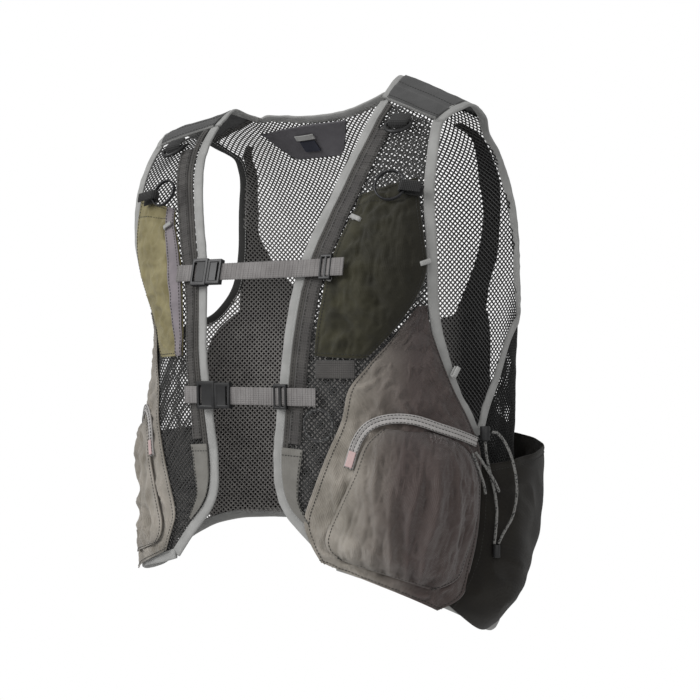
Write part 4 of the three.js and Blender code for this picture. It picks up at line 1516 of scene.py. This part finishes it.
@dataclass(frozen=True)
class FrontStrips:
    """Plain bands and ribbed webbing down both front edges."""

    def build(self) -> None:
        """Make the strips."""
        for side in Side:
            self.strip(f"placket_{side.tag}", side, (9.4, 14.4), (0.02, 0.74), 1.0, 0.0, BAND, Slot.BAND,
                       f"front_band_{side.tag}")
            self.strip(f"ribbed_edge_{side.tag}", side, (14.8, 26.2), (0.06, 0.63), 1.5, 0.22, WEBBING,
                       Slot.WEBBING, f"edge_webbing_{side.tag}")

    def strip(self, name: str, side: Side, insets: tuple[float, float], span: tuple[float, float],
              thick: float, ridge: float, finish: Finish, slot: Slot, node: str) -> None:
        """Make one strip beside the front edge.

        Args:
            name: Name of the piece.
            side: Side of the body.
            insets: Where its two long edges are, in from the front edge.
            span: Part of the front edge that it runs along.
            thick: Thickness.
            ridge: Height of its ribs.
            finish: Its finish.
            slot: Its material slot.
            node: Node that it shows instead of.
        """
        rows = 620 if ridge else 120
        edge = spline(EDGES.inner, rows * 2)[int(span[0] * rows * 2): int(span[1] * rows * 2)]
        lines = [FORM.inset(edge, d, 1) for d in np.linspace(*insets, 7)]
        grid = np.stack([FORM.on(line, side) for line in lines], axis=1)
        run = mean_run(grid)[:, None]
        rib = ridge * np.sin(2 * pi * run / 2.2)
        height = ON_NET - 0.3 + rib + Crinkle(7 + side.value, 60, 0.5).at(grid)
        dress(sheet_mesh(name, grid, height, thick), finish, slot, node)
        seam_rows(DARK_THREAD, grid, height + thick,
                  [("column", 1), ("column", 5)] if ridge else [("column", 3)])


class PatchRow(NamedTuple):
    """A row across a pocket: its inner and its outer end."""

    turn: float
    level: float
    to_turn: float
    to_level: float


CHEST_ROWS = (
    PatchRow(28.2, -114, 40.2, -101), PatchRow(27.6, -128, 42, -124), PatchRow(25.4, -150, 44.8, -150),
    PatchRow(23.4, -175, 47.4, -178), PatchRow(22, -205, 45.4, -203), PatchRow(21, -227, 40.4, -228),
    PatchRow(20.6, -247, 34.2, -249),
)
LOWER_ROWS = (
    PatchRow(46.8, -206, 49.4, -206), PatchRow(41.2, -232, 53, -236), PatchRow(34.4, -256, 58.6, -273),
    PatchRow(29.8, -275, 65, -302), PatchRow(28, -300, 70.2, -327), PatchRow(24.2, -328, 70.5, -354),
    PatchRow(20.6, -357, 70.3, -390), PatchRow(17.8, -384, 67.4, -418), PatchRow(19.6, -402, 63.4, -439),
    PatchRow(22.5, -418, 54, -451),
)
CARGO_ROWS = (
    PatchRow(38.6, -306, 51, -309), PatchRow(34.2, -319, 61.5, -323), PatchRow(31.4, -342, 67.4, -347),
    PatchRow(28, -366, 67.6, -378), PatchRow(24.4, -392, 63.6, -408), PatchRow(24.6, -405, 61, -424),
    PatchRow(27.5, -413, 52, -434),
)
ZIP_ROW = ((30, -338), (32.2, -316), (35.4, -303), (40.5, -297.5), (46.5, -298.5), (54, -306), (67, -318))
BOTTLE_ROWS = (
    PatchRow(71.9, -338, 132, -318), PatchRow(71.8, -372, 132.5, -352), PatchRow(69, -410, 130, -386),
)
BOTTLE_ENDS = {Side.LEFT: PatchRow(58.5, -447, 120, -410), Side.RIGHT: PatchRow(66, -444, 120, -410)}
BACK_ROWS = (
    PatchRow(143.2, -203.5, 229, -201), PatchRow(141.2, -222, 238, -224), PatchRow(140.4, -242, 242, -250),
    PatchRow(140, -272, 243, -278), PatchRow(136, -300, 242, -300), PatchRow(124.4, -320, 241, -320),
    PatchRow(122.8, -366, 240, -366), PatchRow(123, -396, 240, -400), PatchRow(124, -407, 240, -415),
)
BAND_ROWS = {
    Side.LEFT: (
        PatchRow(146.2, -33, 148.4, -33), PatchRow(143.1, -44, 145.6, -44), PatchRow(142.2, -62, 146, -62),
        PatchRow(141.5, -80, 146.4, -80), PatchRow(141.6, -96, 146, -96), PatchRow(142, -120, 146.3, -120),
        PatchRow(142.2, -150, 147.8, -150), PatchRow(143.6, -178, 150.6, -178),
        PatchRow(143.4, -209, 155, -216),
    ),
    Side.RIGHT: (
        PatchRow(146, -33, 148.4, -33), PatchRow(142.6, -44, 145, -44), PatchRow(141.4, -62, 144.4, -62),
        PatchRow(140.6, -80, 143.6, -80), PatchRow(139.8, -96, 143.2, -96),
        PatchRow(138.2, -120, 142.2, -120),
        PatchRow(135.8, -150, 145.4, -150), PatchRow(133.2, -178, 151, -178),
        PatchRow(131.8, -206, 155, -224),
    ),
}
CHEST_FOLDS = (
    Fold(27, -128, 34, -200, 4, 2.6), Fold(30, -120, 41, -195, 5, 2.2), Fold(29, -124, 37, -205, 3, -2.0),
    Fold(36, -112, 45, -172, 4, 2.0), Fold(24, -238, 38, -226, 4, 2.2), Fold(26, -200, 33, -238, 4, -2.0),
    Fold(23, -165, 26, -225, 4, 1.8), Fold(34, -118, 42, -160, 3, -1.8),
)
LOWER_FOLDS = (
    Fold(31, -270, 44, -292, 5, 2.2), Fold(29, -292, 38, -318, 4, 1.8), Fold(45, -222, 58, -285, 4, 1.4),
    Fold(40, -245, 52, -282, 5, -1.6), Fold(25, -318, 27, -372, 3, 2.4),
    Fold(28.5, -316, 29.5, -372, 2.5, -2.4),
    Fold(36, -252, 47, -288, 3, 1.6),
)
CARGO_FOLDS = (
    Fold(40, -304, 36, -352, 4, 2.6), Fold(37, -350, 41, -412, 5, 2.4), Fold(46, -306, 50, -372, 4, -2.4),
    Fold(52, -330, 49, -420, 5, 2.8), Fold(57, -312, 60, -372, 4, 2.2), Fold(61, -366, 57, -430, 5, -2.2),
    Fold(31, -350, 30, -402, 4, 2.0), Fold(43, -360, 45, -424, 3, -2.4), Fold(64, -340, 64, -410, 4, 1.8),
    Fold(34, -398, 54, -424, 5, 2.0),
)
CARGO_GRAIN = (1.2, 1.2, 0.6)
BOTTLE_FOLDS = (
    Fold(84, -345, 88, -440, 9, 1.8), Fold(100, -345, 97, -450, 11, -2.0),
    Fold(112, -340, 108, -440, 9, 1.6),
    Fold(78, -400, 104, -455, 7, 1.2),
)


def dome(u: Array, v: Array) -> Array:
    """A swelling that is zero at the four edges."""
    return np.clip(np.sin(pi * u), 0, 1) ** 0.7 * np.clip(np.sin(pi * v), 0, 1) ** 0.7


def held_down(u: Array, v: Array, wide: float, tall: float, margin: float) -> Array:
    """Zero along a patch's sewn edges and one inside.

    Args:
        u: Share across.
        v: Share down.
        wide: Width in millimetres.
        tall: Height in millimetres.
        margin: Distance over which it comes free.

    Returns:
        Shares.
    """
    away = np.minimum(np.minimum(u, 1 - u) * wide, np.minimum(v, 1 - v) * tall)
    share = np.clip(away / margin, 0, 1)
    return share * share * (3 - 2 * share)


@dataclass(frozen=True)
class Patch:
    """A patch of cloth between two edge curves."""

    rows: tuple[PatchRow, ...]
    down: int = 96
    wide: int = 84

    def places(self) -> Array:
        """Turn and level over the patch."""
        table = np.array(self.rows)
        left, right = spline(table[:, :2], self.down), spline(table[:, 2:], self.down)
        share = np.linspace(0, 1, self.wide + 1)[None, :, None]
        return left[:, None] + (right - left)[:, None] * share

    def near(self, side: Side) -> Array:
        """Places on one side: low pockets on the right lie closer to the side seam."""
        places = self.places()
        if side is Side.RIGHT:
            places[..., 0] += RIGHT_CLOSER * (SIDE_SEAM - places[..., 0])
        return places

    def shares(self) -> tuple[Array, Array]:
        """Shares across and down."""
        return np.meshgrid(np.linspace(0, 1, self.wide + 1), np.linspace(0, 1, self.down + 1))


def lower_swell(places: Array, high: float) -> Array:
    """How far the lower pocket stands off the net, lifted where it hangs over the bound hem.

    Args:
        places: Turn and level.
        high: Height of its middle.

    Returns:
        Heights.
    """
    turn, level = places[..., 0], places[..., 1]
    (corner, low), (seam, lower) = EDGES.front_hem[0], EDGES.front_hem[-1]
    hem = low + (lower - low) * (turn - corner) / (seam - corner)
    lift = 2.2 * np.clip((34 + hem - level) / 16, 0, 1)
    return high * np.exp(-(((turn - 50) / 19) ** 2) - ((level + 352) / 62) ** 2) + lift


@dataclass(frozen=True)
class FrontPockets:
    """Chest, lower and cargo pockets with their zip bands, on both fronts."""

    left_swells: tuple[float, float, float] = (11, 9, 17)
    right_swells: tuple[float, float, float] = (3, 1, 5)
    thick: float = 0.9

    def build(self) -> None:
        """Make the pockets of both sides."""
        for side in Side:
            chest, lower, cargo = self.left_swells if side is Side.LEFT else self.right_swells
            self.chest(side, chest)
            self.lower(side, lower)
            self.cargo(side, lower, cargo)
            self.zip(side, lower)
            self.edge_patch(side)
        self.trim(self.right_swells[0])

    def sewn(self, name: str, side: Side, patch: Patch, height: Callable[[Array, Array], Array],
             folds: Sequence[Fold], crinkles: Sequence[Crinkle], finish: Finish, slot: Slot, node: str,
             seams: Sequence[tuple[str, int]], low: bool = False) -> None:
        """Make one pocket sheet.

        Args:
            name: Name of the piece.
            side: Side of the body.
            patch: Outline.
            height: Height out of the net from places and points.
            folds: Folds in it.
            crinkles: Small waves in it.
            finish: Its finish.
            slot: Its material slot.
            node: Node that it shows instead of.
            seams: Stitched rows and columns.
            low: Whether it is one of the low pockets.
        """
        places = patch.near(side) if low else patch.places()
        grid = FORM.on(places, side)
        u, v = patch.shares()
        wide, tall = mean_run(grid.swapaxes(0, 1))[-1], mean_run(grid)[-1]
        free = held_down(u, v, wide, tall, 12)
        edge = held_down(u, v, wide, tall, 4)
        base = height(places, grid)
        waves = folds_at(grid, folds, side) + sum(crinkle.at(grid) for crinkle in crinkles)
        rise = np.maximum(base + free * waves, np.minimum(base, ON_NET + 2) - 0.3) + 0.7 * (1 - edge)
        piece = dress(sheet_mesh(name, grid, rise, self.thick), finish, slot, node)
        "net_front_" + side.tag
        seam_rows(DARK_THREAD, grid, rise + self.thick, seams)

    def chest(self, side: Side, swell: float) -> None:
        """Make a chest pocket.

        Args:
            side: Side of the body.
            swell: How far it stands out.
        """
        patch = Patch(CHEST_ROWS)
        u, v = patch.shares()
        left = side is Side.LEFT
        self.sewn(
            f"chest_cloth_{side.tag}", side, patch, lambda places, grid: ON_NET + swell * dome(u**1.4, v),
            CHEST_FOLDS if left else CHEST_FOLDS[:4],
            (Crinkle(21 + side.value, 26, 2.2), Crinkle(121, 11, 0.8)),
            OLIVE if left else KHAKI, Slot.OLIVE if left else Slot.KHAKI, f"chest_pocket_{side.tag}",
            [("column", 3), ("column", -4), ("row", 3), ("row", -4), ("row", 12)])

    def lower(self, side: Side, swell: float) -> None:
        """Make a lower pocket.

        Args:
            side: Side of the body.
            swell: How far it stands out.
        """
        patch = Patch(LOWER_ROWS, 130, 110)
        self.sewn(
            f"lower_cloth_{side.tag}", side, patch,
            lambda places, grid: ON_NET - 0.2 + lower_swell(places, swell),
            LOWER_FOLDS, (Crinkle(31 + side.value, 24, 2.6), Crinkle(131, 10, 0.9)), TAUPE, Slot.TAUPE,
            f"lower_pocket_{side.tag}", [("column", 3), ("column", -4), ("row", -4)], True)

    def cargo(self, side: Side, under: float, swell: float) -> None:
        """Make a cargo pocket over the lower one.

        Args:
            side: Side of the body.
            under: How far the lower pocket stands out.
            swell: How far this one stands out from it.
        """
        patch = Patch(CARGO_ROWS, 120, 120)
        u, v = patch.shares()
        self.sewn(
            f"cargo_cloth_{side.tag}", side, patch,
            lambda places, grid: ON_NET + CLOTH + 0.8 + lower_swell(places, under) + swell * dome(u, v),
            CARGO_FOLDS,
            (Crinkle(41 + side.value, 22, 2.6, CARGO_GRAIN), Crinkle(141, 8, 1.0, CARGO_GRAIN)),
            TAUPE, Slot.TAUPE, f"cargo_pocket_{side.tag}",
            [("column", 3), ("column", -4), ("row", -4)], True)

    def trim(self, swell: float) -> None:
        """Make the trim band over the inner edge of the right chest pocket.

        Args:
            swell: How far the pocket stands out.
        """
        patch = Patch(CHEST_ROWS)
        u, v = patch.shares()
        keep = slice(0, 17)
        grid = FORM.on(patch.places(), Side.RIGHT)[:, keep]
        rise = (ON_NET + swell * dome(u**1.4, v))[:, keep] + 2.6 + Crinkle(23, 24, 0.9).at(grid)
        dress(sheet_mesh("trim_band_right", grid, rise, 0.9), TRIM, Slot.BINDING)
        seam_rows(DARK_THREAD, grid, rise + 0.9, [("column", 2), ("column", -3)])

    def edge_patch(self, side: Side) -> None:
        """Make the small patch beside the front edge below the webbing.

        Args:
            side: Side of the body.
        """
        edge = EDGES.inner[92:132]
        taper = np.linspace(1, 0, len(edge))[:, None] ** 0.8
        lines = [FORM.inset(edge, d, 1) for d in (9.4, 29.0)]
        share = np.linspace(0, 1, 17)[None, :, None]
        places = lines[0][:, None] + (lines[1] - lines[0])[:, None] * share * (0.12 + 0.88 * taper[:, None])
        grid = FORM.on(places, side)
        rise = ON_NET + 0.9 + Crinkle(27 + side.value, 26, 0.5).at(grid)
        dress(sheet_mesh(f"edge_patch_{side.tag}", grid, rise, 0.9), PATCH, Slot.TAUPE)
        seam_rows(DARK_THREAD, grid, rise + 0.9, [("row", 2), ("column", -2)])

    def zip(self, side: Side, under: float) -> None:
        """Make the zip band over a cargo pocket, with its end tab.

        Args:
            side: Side of the body.
            under: How far the lower pocket stands out.
        """
        row = spline(ZIP_ROW, 150)
        if side is Side.RIGHT:
            row[:, 0] += RIGHT_CLOSER * (SIDE_SEAM - row[:, 0])
        lines = [FORM.inset(row, d, 1) for d in np.linspace(-4, 4, 9)]
        grid = np.stack([FORM.on(line, side) for line in lines], axis=1)
        base = ON_NET + CLOTH + 1.2 + lower_swell(np.stack(lines, axis=1), under)
        groove = 0.8 * np.exp(-((np.linspace(-4, 4, 9) / 1.2) ** 2))
        piece = sheet_mesh(f"zip_tape_{side.tag}", grid, base - groove, 1.7)
        dress(piece, ZIP, Slot.BINDING, f"zip_band_{side.tag}")
        seam_rows(DARK_THREAD, grid, base - groove + 1.7, [("column", 1), ("column", 7), ("column", 4)])
        end = grid[2:17]
        dress(sheet_mesh(f"zip_end_{side.tag}", end[:, 1:8], base[2:17, 1:8] + 1.9, 0.8), ROSE,
              Slot.BINDING)


@dataclass(frozen=True)
class SidePockets:
    """Open bottle pockets at both sides."""

    swell: float = 26.0
    sag: float = 41.0
    full: float = 5.0
    thick: float = 1.0

    def build(self) -> None:
        """Make both pockets."""
        for side in Side:
            patch = Patch(BOTTLE_ROWS + (BOTTLE_ENDS[side],), 90, 100)
            u, v = patch.shares()
            places = patch.places()
            places[..., 1] -= self.sag * np.sin(pi * u) * v**3
            grid = FORM.on(places, side)
            bulge = np.clip(np.sin(pi * u), 0, 1) ** 0.8 * np.cos(pi / 2 * v**self.full)
            rise = ON_NET + self.swell * bulge
            free = np.clip(np.minimum(u, 1 - u) * 9, 0, 1) * np.clip((1 - v) * 6, 0, 1)
            waves = folds_at(grid, BOTTLE_FOLDS, side) + Crinkle(51 + side.value, 34, 1.4).at(grid)
            rise = rise + free * waves
            rise = rise + 0.9 * np.exp(-((v - 0.03) / 0.03) ** 2)
            piece = dress(sheet_mesh(f"bottle_cloth_{side.tag}", grid, rise, self.thick), SIDE_CLOTH,
                          Slot.OLIVE, f"bottle_pocket_{side.tag}")
            seam_rows(DARK_THREAD, grid, rise + self.thick, [("row", 7), ("column", 3), ("column", -4)])


@dataclass(frozen=True)
class BackGoods:
    """The back pocket and the bands that carry it from the shoulders."""

    dip: float = 26.0
    drop: float = 7.0
    swell: float = 9.0
    lift: float = 2.4
    thick: float = 1.0

    def build(self) -> None:
        """Make the pocket and the bands."""
        patch = Patch(BACK_ROWS, 100, 110)
        u, v = patch.shares()
        middle = np.sin(pi * u) ** 2
        places = patch.places()
        places[..., 1] -= self.dip * middle * (1 - v) + self.drop * (1 - middle) * v**3
        grid = FORM.on(places)
        free = held_down(u, v, 190, 190, 14)
        rise = self.lift + self.swell * dome(u, v) + free * Crinkle(61, 46, 1.8).at(grid)
        piece = dress(sheet_mesh("back_cloth", grid, rise, self.thick), BACK_CLOTH, Slot.OLIVE, "back_pocket")
        seam_rows(DARK_THREAD, grid, rise + self.thick,
                  [("row", 4), ("row", 9), ("row", -4), ("column", 3), ("column", -4)])
        for side in Side:
            self.band(side)

    def band(self, side: Side) -> None:
        """Make one band.

        Args:
            side: Side of the body.
        """
        grid = FORM.on(Patch(BAND_ROWS[side], 90, 14).places(), side)
        rise = ON_NET - 0.3 + Crinkle(71 + side.value, 40, 0.5).at(grid)
        dress(sheet_mesh(f"carry_band_{side.tag}", grid, rise, self.thick), BACK_CLOTH, Slot.OLIVE,
              f"back_band_{side.tag}")
        seam_rows(DARK_THREAD, grid, rise + self.thick, [("column", 1), ("column", 13)])


@dataclass(frozen=True)
class NeckInside:
    """Facing, hang loop and blank label inside the back of the neck."""

    middle: float = -31.0
    half: float = 54.0
    narrows: float = 20.0
    top: float = -16.5
    low: float = -45.0

    def build(self) -> None:
        """Make the three pieces."""
        u, v = np.meshgrid(np.linspace(-1, 1, 57), np.linspace(0, 1, 27))
        x = self.middle + u * (self.half - self.narrows * v**1.3)
        level = self.top + (self.low - self.top) * v * (1 - 0.16 * np.abs(u) ** 8)
        grid = self.rear(x, level)
        piece = dress(sheet_mesh("neck_cloth", grid, -4.4 + Crinkle(81, 30, 0.4).at(grid), 1.0), FACING,
                      Slot.FACING, "neck_facing")
        bar = self.rear(self.middle + u * 12.5, -25 - 2 * (2 * v - 1))
        dress(sheet_mesh("hang_bar", bar, -6.4 - 0.6 * (1 - u**2), 1.0), PALE_LOOP, Slot.BINDING,
              "hang_loop")
        tag = self.rear(self.middle + u * 10, -28.6 - 9.4 * v)
        dress(sheet_mesh("blank_label", tag, -6.2, 0.8), LABEL, Slot.FACING, "label")

    def rear(self, x: Array, level: Array) -> Array:
        """Points on the rear of the form at a distance across."""
        return FORM.point(FORM.turn_at(x, level, True), level)


class StrapLine(NamedTuple):
    """Where the pieces of a chest strap begin, across the body."""

    name: str
    level: float
    rise: float
    anchor_right: float
    socket: float
    plug: float
    strap: float
    slider: float
    anchor_left: float
    end: float

    def depth(self, x: float, above: float = 0.0) -> float:
        """Y of the strap's middle."""
        held = (1 if x >= 0 else -1) * max(abs(x), 28.0)
        level = self.level + above
        turn = FORM.turn_at(np.array(held), np.array(level), False)
        climb = self.rise * min(max((x - 60) / (self.end - 60), 0), 1)
        return float(FORM.point(turn, level)[1]) - 6.2 - climb


STRAP_LINES = (
    StrapLine("upper", -174, 8.5, -75, -56, -39.5, -25, 77, 88, 100),
    StrapLine("lower", -281, 0.0, -60, -43.5, -25, -9, 35, 48, 74),
)


@dataclass(frozen=True)
class ChestStraps:
    """Two webbing straps across the opening, each with a side-release buckle and a slider."""

    wide: float = 15.0
    tall: float = 24.0
    thick: float = 6.4

    def build(self) -> None:
        """Make both straps."""
        for line in STRAP_LINES:
            self.web(line, "anchor_right", line.anchor_right, line.socket + 3.5)
            self.web(line, "strap", line.strap - 3.5, line.slider + 5.0)
            self.web(line, "anchor_left", line.anchor_left - 5.0, line.end)
            self.socket(line)
            self.plug(line)
            self.slider(line)

    def seat(self, line: StrapLine, x: float) -> Matrix:
        """Where hardware sits: its X along the strap, Y up and Z toward the viewer."""
        slope = line.depth(x, 12) - line.depth(x, -12)
        tilt = Matrix.Rotation(pi / 2 - np.arctan2(slope, 24), 4, "X")
        return Matrix.Translation(Vector((x, line.depth(x), line.level)) * MM) @ tilt

    def web(self, line: StrapLine, part: str, start: float, stop: float) -> None:
        """Make one length of webbing.

        Args:
            line: The strap.
            part: Its part.
            start: Where it begins.
            stop: Where it ends.
        """
        xs = np.linspace(start, stop, 40)
        middle = np.array([(x, line.depth(x), line.level) for x in xs])
        upper = np.array([(x, line.depth(x, 7), line.level + 7) for x in xs])
        piece = Ribbon(self.wide).build(f"web_{line.name}_{part}", middle, upper - middle)
        dress(piece, STRAP, Slot.WEBBING, f"{line.name}_{part}")

    def socket(self, line: StrapLine) -> None:
        """Make the buckle's socket, with side windows, a rimmed face and a webbing slot.

        Args:
            line: The strap.
        """
        long = line.plug - line.socket - 0.3
        piece = Bench.block(f"buckle_socket_{line.name}", (long, self.tall, self.thick))
        Bench.inset(piece, (0, 0, 1), 2.4, -0.7)
        Bench.cut(piece, (2.6, 17.0, 20), (3.2 - long / 2, 0, 0))
        for sign in (1, -1):
            Bench.cut(piece, (long * 0.42, 5.0, 3.4), (long * 0.16, sign * 12.0, 0))
        Bench.soften(piece, 0.9)
        Bench.place(piece, self.seat(line, (line.plug + line.socket) / 2))
        dress(piece, PLASTIC, Slot.PLASTIC, f"{line.name}_socket")

    def plug(self, line: StrapLine) -> None:
        """Make the buckle's plug, with two prongs and a webbing slot.

        Args:
            line: The strap.
        """
        long = line.strap - line.plug - 0.3
        piece = Bench.block(f"buckle_plug_{line.name}", (long, self.tall - 2, self.thick - 1))
        Bench.inset(piece, (0, 0, 1), 2.2, -0.6)
        Bench.cut(piece, (2.6, 16.0, 20), (long / 2 - 3.2, 0, 0))
        Bench.soften(piece, 0.9)
        prongs = [piece]
        for sign in (1, -1):
            prong = Bench.block("prong", (9.0, 2.0, 2.6), (-long / 2 - 4.8, sign * 10.6, 0))
            Bench.soften(prong, 0.5)
            prongs.append(prong)
        piece = Bench.join(prongs)
        Bench.place(piece, self.seat(line, (line.strap + line.plug) / 2))
        dress(piece, PLASTIC, Slot.PLASTIC, f"{line.name}_plug")

    def slider(self, line: StrapLine) -> None:
        """Make the slider, with two slots and a middle bar.

        Args:
            line: The strap.
        """
        long = line.anchor_left - line.slider - 0.3
        piece = Bench.block(f"strap_slider_{line.name}", (long, 21, 4.2))
        for sign in (1, -1):
            Bench.cut(piece, (long * 0.26, 16.4, 20), (sign * long * 0.23, 0, 0))
        Bench.soften(piece, 0.7)
        Bench.place(piece, self.seat(line, (line.anchor_left + line.slider) / 2))
        dress(piece, PLASTIC, Slot.PLASTIC, f"{line.name}_slider")


class LoopSeat(NamedTuple):
    """A small webbing loop: its place, its lean and its side."""

    turn: float
    level: float
    lean: float
    side: Side


LOOP_SEATS = (
    LoopSeat(29.5, -136, 70, Side.LEFT),
    LoopSeat(46.0, -172, -60, Side.LEFT),
    LoopSeat(24.0, -184, 70, Side.LEFT),
    LoopSeat(58.5, -262, -30, Side.LEFT),
    LoopSeat(29.5, -132, 70, Side.RIGHT),
)


@dataclass(frozen=True)
class SmallGoods:
    """Pale webbing loops, the cross webbing and the thin ring hung from it."""

    loop_lift: float = 6.0
    web_turns: tuple[float, float] = (20.9, 31.5)
    web_levels: tuple[float, float] = (-250.5, -265.5)
    web_thick: float = 1.6
    rib: float = 0.16
    rib_pitch: float = 1.9
    ring: float = 13.0
    wire: float = 1.1
    ring_at: tuple[float, float, float] = (22.0, -304.0, 4.0)

    def build(self) -> None:
        """Make them all."""
        for k, loop in enumerate(LOOP_SEATS):
            seat = FORM.seat(loop.side.value * loop.turn, loop.level, self.loop_lift,
                             loop.side.value * loop.lean)
            dress(hairpin(f"pale_loop_{k}", 7, 4, 1.2, seat), PALE_LOOP, Slot.BINDING)
        turn, level = np.meshgrid(np.linspace(*self.web_turns, 25), np.linspace(*self.web_levels, 41))
        grid = FORM.point(turn, level)
        rise = ON_NET + self.rib * np.sin(2 * pi * level / self.rib_pitch)
        dress(sheet_mesh("cross_web", grid, rise, self.web_thick), WEBBING, Slot.WEBBING,
              "cross_webbing_left")
        bend = np.linspace(0, 2 * pi, 49)[:-1]
        ring = np.stack((self.ring * np.cos(bend), self.ring * np.sin(bend), 0.5 * np.sin(3 * bend)), 1)
        piece = Bench.wire("thin_ring", ring, self.wire, True)
        dress(Bench.place(piece, FORM.seat(*self.ring_at)), RING_CORD, Slot.CORD, "ring_loop_left")


@dataclass(frozen=True)
class Studio:
    """Camera, light and floor."""

    floor: float = -0.9
    key: float = 42.0
    fill: float = 8.0
    ambient: float = 0.42
    eye: tuple[float, float, float] = (0.5777, -0.9366, -0.242)
    eye_turn: float = 30.0
    lens: float = 59.97
    sensor: float = 36.0
    aim: tuple[float, float, float] = (0.0, 0.0, -0.24)

    def build(self) -> None:
        """Set up the view and the light."""
        scene = bpy.context.scene
        scene.view_settings.view_transform = "Standard"
        camera = bpy.data.objects.new("portrait_camera", bpy.data.cameras.new("portrait_camera"))
        camera.location = self.eye
        camera.rotation_euler = (radians(90), 0, radians(self.eye_turn))
        camera.data.lens = self.lens
        camera.data.sensor_width = self.sensor
        scene.collection.objects.link(camera)
        scene.camera = camera
        self.lamp("key_light", (-1.1, -1.9, 1.0), 1.3, self.key)
        self.lamp("fill_light", (1.6, -1.4, 0.3), 1.6, self.fill)
        self.world(scene)
        Bench.clear()
        bpy.ops.mesh.primitive_circle_add(vertices=64, radius=1.0, fill_type="NGON",
                                          location=(0, 0, self.floor))
        floor = bpy.context.object
        floor.name = "studio_floor"
        floor.data.materials.append(material_of(MouldedFinish("studio_floor", (244, 244, 244),
                                                              (244, 244, 244), rough=0.9)))

    def lamp(self, name: str, at: tuple[float, float, float], size: float, power: float) -> None:
        """Add a soft lamp aimed at the vest.

        Args:
            name: Name of the lamp.
            at: Its place in metres.
            size: Its side in metres.
            power: Its power in watts.
        """
        data = bpy.data.lights.new(name, "AREA")
        data.size = size
        data.energy = power
        lamp = bpy.data.objects.new(name, data)
        lamp.location = at
        lamp.rotation_euler = (Vector(self.aim) - Vector(at)).to_track_quat("-Z", "Y").to_euler()
        bpy.context.scene.collection.objects.link(lamp)

    def world(self, scene: bpy.types.Scene) -> None:
        """White behind the vest, and softer light from all round.

        Args:
            scene: The scene.
        """
        world = bpy.data.worlds.new("studio_world")
        world.use_nodes = True
        scene.world = world
        tree = world.node_tree
        ray = tree.nodes.new("ShaderNodeLightPath")
        reach = tree.nodes.new("ShaderNodeMapRange")
        reach.inputs["To Min"].default_value = self.ambient
        reach.inputs["To Max"].default_value = 1.0
        tree.links.new(ray.outputs["Is Camera Ray"], reach.inputs["Value"])
        back = tree.nodes["Background"]
        back.inputs["Color"].default_value = (1, 1, 1, 1)
        tree.links.new(reach.outputs["Result"], back.inputs["Strength"])


@dataclass(frozen=True)
class Vest:
    """The whole vest."""

    parts: tuple[object, ...] = field(default_factory=lambda: (
        Cords(), NetBody(), Bindings(), Shoulders(), SideRings(), FrontStrips(), FrontPockets(),
        SidePockets(), BackGoods(), NeckInside(), ChestStraps(), SmallGoods(),
    ))

    def build(self) -> None:
        """Make every part, then the stitches over them."""
        for part in self.parts:
            part.build()
            log.info("built %s", type(part).__name__)
        STITCHES.build()


def main() -> None:
    """Set the scene and dress the vest."""
    logging.basicConfig(level=logging.INFO)
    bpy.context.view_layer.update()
    Studio().build()
    Vest().build()


if __name__ == "__main__":
    main()
